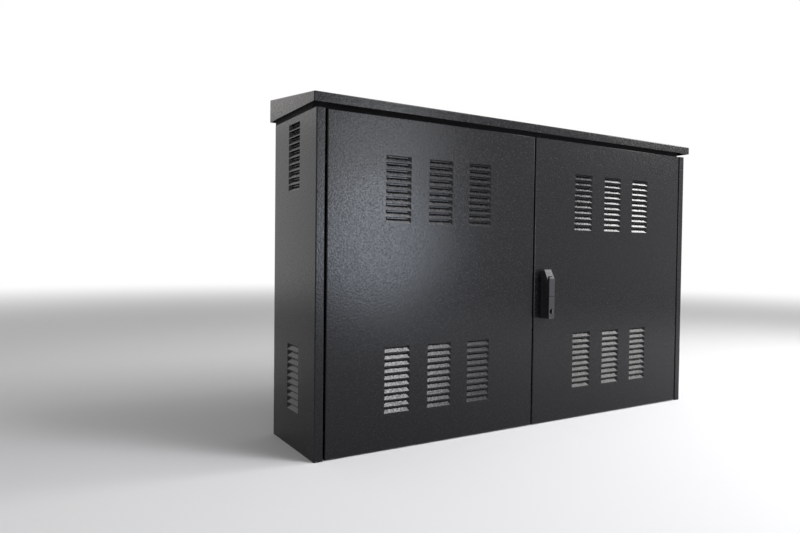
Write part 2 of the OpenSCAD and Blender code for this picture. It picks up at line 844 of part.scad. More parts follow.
module bolt_rod() {
  knob_z = barrel_top_z - loop_spacing / 2 - loop_h / 2 - bolt_travel / 2;
  color(zinc) translate([bolt_x, bolt_y, 0]) {
    translate([0, 0, upper_rod_end - bolt_l]) cylinder(r = bolt_r, h = bolt_l - bolt_nose);
    translate([0, 0, upper_rod_end - bolt_nose])
      cylinder(r1 = bolt_r, r2 = bolt_r - bolt_nose, h = bolt_nose);
    round_x(knob_r, -knob_l, knob_l, 0, knob_z);
    round_x(grip_r, -knob_l - grip_l, grip_l, 0, knob_z);
  }
}

module at_lower_end() {
  translate([0, 0, body_h]) mirror([0, 0, 1]) children();
}

module upper_bolt_barrel() { bolt_barrel(); }
module lower_bolt_barrel() { at_lower_end() bolt_barrel(); }
module upper_bolt() { bolt_rod(); }
module lower_bolt() { at_lower_end() bolt_rod(); }

// Handle parts are drawn in X and Z and stand out from the door's face by a distance p
module proud(p0, p1) {
  along_y(front_y - p1, p1 - p0) children();
}

// Upright bar outline with rounded ends
module bar_outline(w, z0, z1, r) {
  translate([handle_x, 0]) {
    translate([-w / 2, z0 + r]) square([w, z1 - z0 - 2 * r]);
    translate([r - w / 2, z0]) square([w - 2 * r, z1 - z0]);
    for (x = [r - w / 2, w / 2 - r], z = [z0 + r, z1 - r]) translate([x, z]) circle(r);
  }
}

// Upright bar outline with its lower corners rounded
module tongue_outline(w, z0, z1, r) {
  bar_outline(w, z0, z1, r);
  translate([handle_x - w / 2, (z0 + z1) / 2]) square([w, (z1 - z0) / 2]);
}

module handle_base() {
  color(black) difference() {
    union() {
      proud(0, base_t) {
        bar_outline(handle_w, base_end_z, spindle_z, base_corner);
        translate([handle_x, spindle_z]) circle(base_top_r);
      }
      proud(0, base_block_t) bar_outline(handle_w, base_end_z, base_block_z, base_corner);
      intersection() {
        proud(0, handle_proud) tongue_outline(handle_w, base_end_z, housing_top_z, base_corner);
        along_x(handle_x - handle_w, 2 * handle_w) polygon([
          [front_y + eps, base_end_z - eps], [front_y - handle_proud + base_toe, base_end_z - eps],
          [front_y - handle_proud + base_toe, base_end_z], [front_y - handle_proud, base_end_z + base_toe],
          [front_y - handle_proud, housing_top_z + eps], [front_y + eps, housing_top_z + eps]
        ]);
      }
    }
    round_y(spindle_r + running_gap, front_y - base_t - eps, base_t + 2 * eps, handle_x, spindle_z);
    round_y(cylinder_r + running_gap, front_y - handle_proud - eps, cylinder_depth + eps,
      handle_x, cylinder_z);
    for (z = handle_screw_zs)
      round_y(handle_thread_r, front_y - handle_thread_l - running_gap, handle_thread_l + eps, handle_x, z);
  }
}

module handle_screws() {
  color(zinc) for (z = handle_screw_zs) {
    round_y(handle_thread_r, front_y - handle_thread_l, handle_thread_l + sheet_t, handle_x, z);
    round_y(2 * screw_r, front_y + sheet_t, handle_screw_head_h, handle_x, z);
  }
}

module lock_cylinder() {
  face_y = front_y - handle_proud + cylinder_recess;
  color(zinc) difference() {
    round_y(cylinder_r, face_y, cylinder_depth - cylinder_recess - 4 * running_gap, handle_x, cylinder_z);
    translate([handle_x - key_slot_w / 2, face_y - eps, cylinder_z - key_slot_h / 2])
      cube([key_slot_w, key_slot_depth, key_slot_h]);
  }
}

// Turning head, drawn with the lever's pivot as its origin: Y points into the cabinet
module at_lever_pivot() {
  translate([handle_x, front_y - lever_pin_p, lever_pin_z]) children();
}

// Room in the head for the lever's round end, open to the front and below
module lever_pocket() {
  half_w = lever_w / 2 + pocket_gap;
  r = lever_nose_r + pocket_gap;
  back = lever_t - lever_nose_r + pocket_gap;
  drop = head_drop + eps;
  at_lever_pivot() intersection() {
    along_y(-2 * r, 4 * r) {
      translate([-half_w, -drop]) square([2 * half_w, drop + r - pocket_corner]);
      translate([pocket_corner - half_w, -drop]) square([2 * (half_w - pocket_corner), drop + r]);
      for (s = [-1, 1]) translate([s * (half_w - pocket_corner), r - pocket_corner]) circle(pocket_corner);
    }
    union() {
      round_x(r, -half_w, 2 * half_w, 0, 0);
      translate([-half_w, -2 * r, -drop]) cube([2 * half_w, 2 * r + back, drop]);
      translate([-half_w, -2 * r, -eps]) cube([2 * half_w, 2 * r, r + eps]);
    }
  }
}

// Turning head: a block that slopes from its crest to the lever and is forked round it, with its spindle
module handle_head() {
  neck_l = head_back + eps + case_front_y + case_wall - front_y;
  color(black) difference() {
    union() {
      intersection() {
        proud(head_back, lever_front) bar_outline(2 * head_r, head_bottom_z, head_top_z, head_corner);
        along_x(handle_x - head_r - eps, 2 * head_r + 2 * eps) polygon([
          [front_y - head_back, head_bottom_z - eps], [front_y - head_back, head_top_z - head_shoulder],
          [front_y - head_crest_p, head_top_z], [front_y - head_front_p, head_brow_z],
          [front_y - head_front_p, head_bottom_z - eps]
        ]);
      }
      round_y(spindle_r, front_y - head_back - eps, neck_l, handle_x, spindle_z);
      translate([handle_x - key_flat / 2, case_front_y, spindle_z - key_flat / 2])
        cube([key_flat, rod_back_y - case_front_y, key_flat]);
      round_y(journal_r, rod_front_y, case_back_y + case_wall + 1 - rod_front_y, handle_x, spindle_z);
    }
    lever_pocket();
    at_lever_pivot() round_x(lever_pin_r, -head_r - eps, 2 * head_r + 2 * eps, 0, 0);
  }
}

// Lever: a flat bar whose upper end is round about its pin
module lever() {
  reach = lever_pin_z - lever_end_z;
  top_r = lever_w / 2;
  color(black) at_lever_pivot() difference() {
    intersection() {
      along_y(-lever_nose_r, lever_nose_r + lever_t) {
        translate([0, lever_nose_r - top_r]) circle(top_r);
        translate([-top_r, lever_end_r - reach])
          square([lever_w, reach - lever_end_r + lever_nose_r - top_r]);
        translate([lever_end_r - top_r, -reach]) square([lever_w - 2 * lever_end_r, 2 * lever_end_r]);
        for (x = [lever_end_r - top_r, top_r - lever_end_r])
          translate([x, lever_end_r - reach]) circle(lever_end_r);
      }
      union() {
        intersection() {
          round_x(lever_nose_r, -lever_w, 2 * lever_w, 0, 0);
          translate([-lever_w, -2 * lever_nose_r, 0]) cube([2 * lever_w, 4 * lever_nose_r, lever_nose_r]);
        }
        translate([-lever_w, -lever_nose_r, -reach - eps]) cube([2 * lever_w, lever_t, reach + eps]);
      }
    }
    round_x(lever_pin_r + running_gap, -lever_w, 2 * lever_w, 0, 0);
  }
}

module lever_pin() {
  color(zinc) at_lever_pivot() round_x(lever_pin_r, -head_r, 2 * head_r, 0, 0);
}

// Involute angle in degrees at radius r, from the base circle
function roll(r) = sqrt(max(0, pow(r / base_circle_r, 2) - 1));
function involute(r) = roll(r) * 180 / PI - atan(roll(r));
function flank_angle(r) = tooth_half + involute(pitch_r) - involute(r);
function polar(r, a) = r * [cos(a), sin(a)];
flank_steps = 5;
flank_start = max(base_circle_r, root_r);
flank_rs = [root_r, for (k = [0 : flank_steps]) flank_start + (tip_r - flank_start) * k / flank_steps];

function flank(centre, side) =
  [for (r = flank_rs) polar(r, centre + side * flank_angle(max(r, flank_start)))];
function reversed(points) = [for (k = [len(points) - 1 : -1 : 0]) points[k]];
function tooth_points(centre) = concat(flank(centre, -1), reversed(flank(centre, 1)));

module lock_pinion() {
  outline = [for (i = [0 : pinion_teeth - 1]) each tooth_points(i * 360 / pinion_teeth)];
  color(zinc) difference() {
    along_y(rod_front_y, rod_t) translate([handle_x, spindle_z]) polygon(outline);
    along_y(rod_front_y - eps, rod_t + 2 * eps) translate([handle_x, spindle_z])
      square(key_flat + 2 * running_gap, center = true);
  }
}

// Rack outline beside the pinion: the rod's plain edge is X = rack_root_x, teeth point to the
// pinion's centre, and tooth centres lie at phase + a whole number of pitches
module rack_outline(phase, z_low, z_high) {
  slant = tan(pressure_angle);
  half = tooth_pitch / 4 - backlash / 4;
  tip_half = half - addendum * slant;
  root_half = half + dedendum * slant;
  first = ceil((z_low - phase + root_half) / tooth_pitch);
  for (k = [first : first + rack_teeth - 1]) {
    z = phase + k * tooth_pitch;
    if (z + root_half <= z_high) polygon([
      [rack_root_x + rack_back, z - root_half], [rack_root_x, z - root_half],
      [pitch_r - addendum, z - tip_half], [pitch_r - addendum, z + tip_half],
      [rack_root_x, z + root_half], [rack_root_x + rack_back, z + root_half]
    ]);
  }
}

// Rod with its rack, drawn to the right of the pinion and running down to z_end
module rack_rod(phase, z_end) {
  chamfer = 2;
  low = z_end - spindle_z;
  along_y(rod_front_y, rod_t) {
    rack_outline(phase, -rod_stroke - rod_tail, rod_tail);
    polygon([
      [rack_root_x, rod_tail], [rack_root_x + rod_w, rod_tail],
      [rack_root_x + rod_w, low + chamfer], [rack_root_x + rod_w - chamfer, low],
      [rack_root_x + chamfer, low], [rack_root_x, low + chamfer]
    ]);
  }
}

module lower_rod() {
  color(zinc) translate([handle_x, 0, spindle_z]) rack_rod(tooth_pitch / 2, lower_rod_end);
}

module upper_rod() {
  color(zinc) translate([handle_x, 0, spindle_z]) rotate([0, 180, 0])
    rack_rod(0, 2 * spindle_z - upper_rod_end);
}

// Outline of the lock case and its cover: a box with an ear on each side for the cover's screws
module case_outline() {
  translate([handle_x, spindle_z]) {
    square([2 * case_x, 2 * case_z], center = true);
    square([2 * (case_x + ear_l), ear_h], center = true);
  }
}

// Children lie on the case's rear edge at each cover screw
module case_screw_places() {
  for (s = [-1, 1]) translate([handle_x + s * (case_x + ear_l / 2), case_back_y, spindle_z]) children();
}

module lock_case() {
  slot_w = rod_w + 2 * rod_gap;
  inner_x = case_x - case_wall;
  inner_z = case_z - case_wall;
  color(zinc) difference() {
    union() {
      along_y(case_front_y, case_back_y - case_front_y) case_outline();
      translate([handle_x - pedestal_w / 2, front_y + sheet_t, spindle_z - pedestal_h / 2])
        cube([pedestal_w, case_front_y + case_wall / 2 - front_y - sheet_t, pedestal_h]);
    }
    translate([handle_x - inner_x, rod_front_y - rod_gap, spindle_z - inner_z])
      cube([2 * inner_x, rod_t + 2 * rod_gap + eps, 2 * inner_z]);
    translate([upper_rod_x - rod_gap, rod_front_y - rod_gap, spindle_z])
      cube([slot_w, rod_t + 2 * rod_gap + eps, case_z + eps]);
    translate([lower_rod_x - rod_gap, rod_front_y - rod_gap, spindle_z - case_z - eps])
      cube([slot_w, rod_t + 2 * rod_gap + eps, case_z]);
    round_y(spindle_r + running_gap, front_y, case_front_y + case_wall + eps - front_y, handle_x, spindle_z);
    case_screw_places() round_y(cover_screw_r, case_front_y - case_back_y - eps,
      case_back_y - case_front_y + 2 * eps, 0, 0);
  }
}

module lock_case_cover() {
  color(zinc) difference() {
    along_y(case_back_y, case_wall) case_outline();
    round_y(journal_r + running_gap, case_back_y - eps, case_wall + 2 * eps, handle_x, spindle_z);
    case_screw_places() round_y(cover_screw_r, -eps, case_wall + 2 * eps, 0, 0);
  }
}

module case_screws() {
  head_h = 1.6;
  shank = case_back_y - case_front_y;
  color(zinc) case_screw_places() {
    round_y(cover_screw_r, -shank, shank + case_wall, 0, 0);
    round_y(1.6 * cover_screw_r, case_wall, head_h, 0, 0);
  }
}

// Guide block that holds a rod to the door: it stands on a seat at seat_y
module rod_guide(rod_x, z, seat_y) {
  back = rod_back_y + rod_gap + guide_wall;
  color(zinc) difference() {
    translate([rod_x - rod_gap - guide_wall, seat_y, z])
      cube([rod_w + 2 * rod_gap + 2 * guide_wall, back - seat_y, guide_h]);
    translate([rod_x - rod_gap, rod_front_y - rod_gap, z - eps])
      cube([rod_w + 2 * rod_gap, rod_t + 2 * rod_gap, guide_h + 2 * eps]);
  }
}

module upper_rod_guide() {
  rod_guide(upper_rod_x, upper_rod_end - guide_end - guide_h, door_back_y);
}

module lower_rod_guide() {
  rod_guide(lower_rod_x, lower_rod_end + guide_end, front_y + sheet_t);
}

side_panel_left();
side_panel_right();
back_panel();
floor_panel();
top_panel();
roof_hood();
roof_bearer_left();
roof_bearer_right();
roof_screws();
gland_plate();
gland_screws();
mounting_plate();
plate_studs();
plate_nuts();
earth_stud();
hinge_arms_left();
hinge_arms_right();
hinge_pins_left();
hinge_pins_right();
left_door_panel();
hinge_leaves_left();
left_door_gasket();
centre_seal();
upper_bolt_barrel();
lower_bolt_barrel();
upper_bolt();
lower_bolt();
right_door_panel();
hinge_leaves_right();
right_door_gasket();
handle_base();
handle_screws();
lock_cylinder();
handle_head();
lever();
lever_pin();
lock_pinion();
lock_case();
lock_case_cover();
case_screws();
upper_rod();
lower_rod();
upper_rod_guide();
lower_rod_guide();
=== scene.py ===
"""Studio scene of a black roadside utility cabinet with louvred double doors and a sloping hood.

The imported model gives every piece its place. This script dresses the pieces in their finishes, adds the
small trim that the solids leave out, and sets the floor, the lights and the camera. Lengths are in metres.
"""

import json
import logging
import math
from dataclasses import dataclass
from enum import Enum

import bmesh
import bpy
from mathutils import Matrix, Vector

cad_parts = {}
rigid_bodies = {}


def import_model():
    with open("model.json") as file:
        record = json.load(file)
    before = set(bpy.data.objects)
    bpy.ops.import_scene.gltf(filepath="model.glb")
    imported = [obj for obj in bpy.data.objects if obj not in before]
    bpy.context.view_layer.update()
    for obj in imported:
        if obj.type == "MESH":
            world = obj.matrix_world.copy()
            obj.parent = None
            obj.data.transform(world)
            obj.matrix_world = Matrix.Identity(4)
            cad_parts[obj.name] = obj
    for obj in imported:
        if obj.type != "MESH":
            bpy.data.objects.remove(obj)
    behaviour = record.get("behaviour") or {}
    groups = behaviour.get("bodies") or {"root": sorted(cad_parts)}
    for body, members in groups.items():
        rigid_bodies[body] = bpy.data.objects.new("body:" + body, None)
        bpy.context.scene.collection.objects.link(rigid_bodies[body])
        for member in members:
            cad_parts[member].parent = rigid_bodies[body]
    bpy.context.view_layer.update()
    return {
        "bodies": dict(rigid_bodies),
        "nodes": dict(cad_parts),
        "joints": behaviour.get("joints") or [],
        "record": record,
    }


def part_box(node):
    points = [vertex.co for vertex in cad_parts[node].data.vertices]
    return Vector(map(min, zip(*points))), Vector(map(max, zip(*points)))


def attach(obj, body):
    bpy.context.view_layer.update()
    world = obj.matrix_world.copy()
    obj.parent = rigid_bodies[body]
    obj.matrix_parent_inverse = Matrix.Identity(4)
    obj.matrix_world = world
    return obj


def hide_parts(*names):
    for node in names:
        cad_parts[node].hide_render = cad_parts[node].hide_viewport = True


log = logging.getLogger("cabinet")

MM = 0.001
TOUCH = 0.1 * MM  # slack in finding the vertices that lie on a face
MERGE = 1e-6  # distance under which two vertices are one
BEND = math.radians(30)  # bend past which an edge counts as a corner
NOISE_LOW, NOISE_HIGH = 0.3, 0.7  # values that most of a noise lies between
NOISE_ROUGHNESS = 0.55

Point = tuple[float, float, float]
Outline = list[tuple[float, float]]
Shares = tuple[tuple[float, float], ...]


class Slot(Enum):
    """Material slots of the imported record."""

    CABINET = "cabinet_black"
    HANDLE = "handle_black"
    ZINC = "zinc"
    LOCK = "lock_steel"
    RUBBER = "rubber"
    BRASS = "brass"


class Body(Enum):
    """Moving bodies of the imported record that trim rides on."""

    CABINET = "cabinet"
    LEFT_DOOR = "left_door"
    RIGHT_DOOR = "right_door"
    UPPER_BOLT = "upper_bolt"
    LOWER_BOLT = "lower_bolt"
    KEY = "key_cylinder"


class Toward(Enum):
    """Directions that a turned piece or a screw head may point in."""

    FRONT = (0.0, -1.0, 0.0)
    BACK = (0.0, 1.0, 0.0)
    UP = (0.0, 0.0, 1.0)
    LEFT = (-1.0, 0.0, 0.0)
    RIGHT = (1.0, 0.0, 0.0)


class Drive(Enum):
    """Recesses in the head of a screw."""

    HEX = "hex"
    CROSS = "cross"


class NodeBuilder:
    """Small helper that adds and links shader nodes in one material or world."""

    def __init__(self, tree: bpy.types.NodeTree) -> None:
        """Clears the tree and keeps it.

        Args:
            tree: the node tree to fill.
        """
        self.tree = tree
        self.tree.nodes.clear()

    def add(self, kind: str, **settings: object) -> bpy.types.Node:
        """Adds one node.

        Args:
            kind: the node's type name, without its ShaderNode prefix.
            settings: attributes to set on the node, or input values by name when the node has that input.

        Returns:
            The new node.
        """
        node = self.tree.nodes.new("ShaderNode" + kind)
        for name, value in settings.items():
            if hasattr(node, name):
                setattr(node, name, value)
            else:
                node.inputs[name.replace("_", " ")].default_value = value
        return node

    def link(self, source: bpy.types.NodeSocket, target: bpy.types.NodeSocket) -> None:
        """Links an output socket to an input socket."""
        self.tree.links.new(source, target)

    def noise(self, place: bpy.types.Node, size: float, detail: float) -> bpy.types.NodeSocket:
        """Adds a noise in object space.

        Args:
            place: the texture coordinate node.
            size: the length of one feature.
            detail: the noise's detail.

        Returns:
            The noise's value socket.
        """
        noise = self.add("TexNoise", Scale=1.0 / size, Detail=detail, Roughness=NOISE_ROUGHNESS)
        self.link(place.outputs["Object"], noise.inputs["Vector"])
        return noise.outputs["Fac"]

    def spread(self, value: bpy.types.NodeSocket, low: float, high: float) -> bpy.types.NodeSocket:
        """Maps the middle of a noise onto a range.

        Args:
            value: the noise's value socket.
            low: the range's lower end.
            high: the range's upper end.

        Returns:
            The mapped value's socket.
        """
        spread = self.add("MapRange", From_Min=NOISE_LOW, From_Max=NOISE_HIGH, To_Min=low, To_Max=high)
        self.link(value, spread.inputs["Value"])
        return spread.outputs["Result"]

    def tint(
        self,
        value: bpy.types.NodeSocket,
        low: Point,
        high: Point,
        start: float = NOISE_LOW,
        end: float = NOISE_HIGH,
    ) -> bpy.types.NodeSocket:
        """Maps a value onto two colours.

        Args:
            value: the value's socket.
            low: the colour at the start.
            high: the colour at the end.
            start: the value that gives the first colour.
            end: the value that gives the second colour.

        Returns:
            The colour's socket.
        """
        ramp = self.add("ValToRGB")
        ramp.color_ramp.elements[0].position = start
        ramp.color_ramp.elements[0].color = (*low, 1)
        ramp.color_ramp.elements[1].position = end
        ramp.color_ramp.elements[1].color = (*high, 1)
        self.link(value, ramp.inputs["Fac"])
        return ramp.outputs["Color"]

    def bump(
        self, height: bpy.types.NodeSocket, distance: float, below: bpy.types.NodeSocket | None = None
    ) -> bpy.types.NodeSocket:
        """Raises a height over the surface.

        Args:
            height: the height's socket, from 0 to 1.
            distance: the length that a height of 1 stands for.
            below: the normal of a coarser bump that this one lies on.

        Returns:
            The normal's socket.
        """
        bump = self.add("Bump", Strength=1.0, Distance=distance)
        self.link(height, bump.inputs["Height"])
        if below is not None:
            self.link(below, bump.inputs["Normal"])
        return bump.outputs["Normal"]


@dataclass(frozen=True)
class Finish:
    """A surface with fine grain in its colour and relief, and broad patches of more and less gloss.

    A spread of colour is a share of the colour. A spread of gloss is added to the roughness and taken off it.
    """

    name: str
    color: Point
    roughness: float
    metallic: float = 0.0
    specular: float = 0.5
    grain_size: float = 1.0 * MM
    grain_height: float = 0.02 * MM
    grain_detail: float = 2.0
    patch_size: float = 60 * MM
    patch_detail: float = 3.0
    color_spread: float = 0.12
    gloss_spread: float = 0.05

    def build(self) -> bpy.types.Material:
        """Builds the node material.

        Returns:
            The finished material.
        """
        material = bpy.data.materials.new(self.name)
        material.use_nodes = True
        nodes = NodeBuilder(material.node_tree)
        place = nodes.add("TexCoord")
        shader = nodes.add("BsdfPrincipled")
        output = nodes.add("OutputMaterial")
        shader.inputs["Metallic"].default_value = self.metallic
        shader.inputs["Specular IOR Level"].default_value = self.specular
        nodes.link(shader.outputs["BSDF"], output.inputs["Surface"])
        self.dress(nodes, place, shader)
        return material

    def dress(self, nodes: NodeBuilder, place: bpy.types.Node, shader: bpy.types.Node) -> None:
        """Links the finish's patterns to the shader.

        Args:
            nodes: the material's node builder.
            place: the texture coordinate node.
            shader: the principled shader.
        """
        grain = nodes.noise(place, self.grain_size, self.grain_detail)
        patches = nodes.noise(place, self.patch_size, self.patch_detail)
        nodes.link(nodes.tint(grain, *self.shades()), shader.inputs["Base Color"])
        nodes.link(self.gloss(nodes, patches), shader.inputs["Roughness"])
        nodes.link(nodes.bump(grain, self.grain_height), shader.inputs["Normal"])

    def shades(self) -> tuple[Point, Point]:
        """Returns the darker and the lighter shade of the finish's colour."""
        return (
            tuple(c * (1 - self.color_spread) for c in self.color),
            tuple(c * (1 + self.color_spread) for c in self.color),
        )

    def gloss(self, nodes: NodeBuilder, value: bpy.types.NodeSocket) -> bpy.types.NodeSocket:
        """Varies the roughness about its middle with a value."""
        return nodes.spread(value, self.roughness - self.gloss_spread, self.roughness + self.gloss_spread)


@dataclass(frozen=True)
class PowderCoat(Finish):
    """Black powder coat: fine grain over the swell of orange peel, on sheet that isn't quite flat."""

    grain_detail: float = 1.0
    peel_size: float = 4.2 * MM
    peel_height: float = 0.23 * MM
    peel_detail: float = 2.0
    wave_size: float = 260 * MM
    wave_height: float = 0.5 * MM
    wave_detail: float = 0.0

    def dress(self, nodes: NodeBuilder, place: bpy.types.Node, shader: bpy.types.Node) -> None:
        """Links the coat's patterns to the shader.

        Args:
            nodes: the material's node builder.
            place: the texture coordinate node.
            shader: the principled shader.
        """
        grain = nodes.noise(place, self.grain_size, self.grain_detail)
        peel = nodes.noise(place, self.peel_size, self.peel_detail)
        wave = nodes.noise(place, self.wave_size, self.wave_detail)
        nodes.link(nodes.tint(grain, *self.shades()), shader.inputs["Base Color"])
        nodes.link(self.gloss(nodes, peel), shader.inputs["Roughness"])
        flat = nodes.bump(wave, self.wave_height)
        swell = nodes.bump(peel, self.peel_height, flat)
        nodes.link(nodes.bump(grain, self.grain_height, swell), shader.inputs["Normal"])


@dataclass(frozen=True)
class ZincPlate(Finish):
    """Passivated zinc: a cold metal with cloudy spangles of slightly different brightness."""

    grain_detail: float = 3.0
    spangle_size: float = 9 * MM

    def dress(self, nodes: NodeBuilder, place: bpy.types.Node, shader: bpy.types.Node) -> None:
        """Links the plating's patterns to the shader.

        Args:
            nodes: the material's node builder.
            place: the texture coordinate node.
            shader: the principled shader.
        """
        cells = nodes.add("TexVoronoi", feature="F1", Scale=1.0 / self.spangle_size, Randomness=1.0)
        nodes.link(place.outputs["Object"], cells.inputs["Vector"])
        apart = nodes.add("SeparateColor")
        nodes.link(cells.outputs["Color"], apart.inputs["Color"])
        shade = apart.outputs["Red"]
        grain = nodes.noise(place, self.grain_size, self.grain_detail)
        nodes.link(nodes.tint(shade, *self.shades(), 0.0, 1.0), shader.inputs["Base Color"])
        nodes.link(self.gloss(nodes, grain), shader.inputs["Roughness"])
        nodes.link(nodes.bump(grain, self.grain_height), shader.inputs["Normal"])


FINISHES: dict[Slot, Finish] = {
    Slot.CABINET: PowderCoat(
        "black_powder_coat", (0.0075, 0.0075, 0.0088), 0.20, specular=0.25, grain_size=1.5 * MM,
        grain_height=0.03 * MM, color_spread=0.3, gloss_spread=0.13,
    ),
    Slot.HANDLE: Finish(
        "black_die_cast", (0.020, 0.020, 0.023), 0.40, specular=0.4, grain_size=0.5 * MM,
        grain_height=0.02 * MM,
    ),
    Slot.ZINC: ZincPlate(
        "zinc_plate", (0.55, 0.57, 0.60), 0.36, metallic=1.0, grain_size=2.0 * MM, grain_height=0.006 * MM,
        color_spread=0.16, gloss_spread=0.06,
    ),
    Slot.LOCK: Finish(
        "black_nickel", (0.09, 0.09, 0.095), 0.34, metallic=0.8, grain_size=0.3 * MM, grain_height=0.004 * MM,
    ),
    Slot.RUBBER: Finish(
        "foam_rubber", (0.012, 0.012, 0.012), 0.85, specular=0.3, grain_size=0.7 * MM,
        grain_height=0.12 * MM, color_spread=0.35,
    ),
    Slot.BRASS: Finish(
        "plain_brass", (0.62, 0.42, 0.16), 0.3, metallic=1.0, grain_size=0.5 * MM, grain_height=0.004 * MM,
        patch_size=12 * MM, color_spread=0.08,
    ),
}


class Shape:
    """One mesh in the making: typed wrappers of the bmesh operators that this scene needs."""

    def __init__(self) -> None:
        """Starts an empty mesh."""
        self.mesh = bmesh.new()

    def turned(self, profile: Outline, steps: int = 32) -> "Shape":
        """Spins a profile about Z.

        Args:
            profile: points (radius, height) from one end of the profile to the other.
            steps: the number of steps in the full turn.

        Returns:
            This shape.
        """
        verts = [self.mesh.verts.new((r, 0, z)) for r, z in profile]
        edges = [self.mesh.edges.new(pair) for pair in zip(verts, verts[1:])]
        bmesh.ops.spin(
            self.mesh, geom=verts + edges, cent=(0, 0, 0), axis=(0, 0, 1), dvec=(0, 0, 0),
            angle=2 * math.pi, steps=steps, use_merge=True, use_duplicate=False,
        )
        return self.close()

    def prism(self, outline: Outline, height: float) -> "Shape":
        """Raises a closed outline from the XY plane along Z.

        Args:
            outline: the outline's points, in order.
            height: the prism's height.

        Returns:
            This shape.
        """
        verts = [self.mesh.verts.new((x, y, 0)) for x, y in outline]
        face = self.mesh.faces.new(verts)
        raised = bmesh.ops.extrude_face_region(self.mesh, geom=[face])["geom"]
        self.shift(raised, height)
        if not face.is_valid:
            self.mesh.faces.new(verts)
        return self.close()

    def frame(self, low: Point | Vector, high: Point | Vector, width: float) -> "Shape":
        """Raises a rectangular ring from its lowest to its highest corner.

        Args:
            low: the lowest corner.
            high: the highest corner.
            width: the width of the ring's sides.

        Returns:
            This shape.
        """
        edges = []
        for inset in (0, width):
            start, end = (low[0] + inset, low[1] + inset), (high[0] - inset, high[1] - inset)
            corners = (start, (end[0], start[1]), end, (start[0], end[1]))
            loop = [self.mesh.verts.new((x, y, low[2])) for x, y in corners]
            edges += [self.mesh.edges.new(pair) for pair in zip(loop, loop[1:] + loop[:1])]
        ring = bmesh.ops.bridge_loops(self.mesh, edges=edges)["faces"]
        raised = bmesh.ops.extrude_face_region(self.mesh, geom=ring, use_keep_orig=True)["geom"]
        self.shift(raised, high[2] - low[2])
        return self.close()

    def shift(self, geometry: list, height: float) -> None:
        """Moves the vertices among some geometry along Z.

        Args:
            geometry: vertices, edges and faces.
            height: the distance, below zero to go down.
        """
        verts = [g for g in geometry if isinstance(g, bmesh.types.BMVert)]
        bmesh.ops.translate(self.mesh, vec=(0, 0, height), verts=verts)

    def edges_past(self, axis: int, level: float) -> list[bmesh.types.BMEdge]:
        """Finds the edges that reach a face.

        Args:
            axis: the axis that the face stands across, from 0 to 2.
            level: the face's place on that axis.

        Returns:
            The edges with both ends on the face or past it.
        """
        return [e for e in self.mesh.edges if all(v.co[axis] > level - TOUCH for v in e.verts)]

    def soften(
        self, width: float, segments: int, chosen: list[bmesh.types.BMEdge] | None = None
    ) -> "Shape":
        """Rounds the chosen edges, or every edge that is a corner.

        Args:
            width: the width of the rounding.
            segments: the number of faces across it.
            chosen: the edges to round.

        Returns:
            This shape.
        """
        if chosen is None:
            chosen = [e for e in self.mesh.edges if e.is_manifold and e.calc_face_angle(0) > BEND]
        bmesh.ops.bevel(
            self.mesh, geom=chosen, offset=width, segments=segments, profile=0.5, affect="EDGES",
            material=-1, clamp_overlap=True,
        )
        return self

    def close(self) -> "Shape":
        """Merges doubles and turns the faces outwards.

        Returns:
            This shape.
        """
        bmesh.ops.remove_doubles(self.mesh, verts=self.mesh.verts, dist=MERGE)
        bmesh.ops.recalc_face_normals(self.mesh, faces=self.mesh.faces)
        return self

    def aim(self, toward: Toward, at: Point | Vector) -> "Shape":
        """Turns the shape's Z towards a direction and moves its origin to a point.

        Args:
            toward: the direction.
            at: the point.

        Returns:
            This shape.
        """
        turn = Vector((0, 0, 1)).rotation_difference(Vector(toward.value)).to_matrix().to_4x4()
        bmesh.ops.transform(self.mesh, matrix=Matrix.Translation(at) @ turn, verts=self.mesh.verts)
        return self

    def add(self, other: "Shape") -> "Shape":
        """Joins another shape's faces to this one and drops the other.

        Args:
            other: the shape that is used up.

        Returns:
            This shape.
        """
        copied = bpy.data.meshes.new("copied")
        other.mesh.to_mesh(copied)
        other.mesh.free()
        self.mesh.from_mesh(copied)
        bpy.data.meshes.remove(copied)
        return self


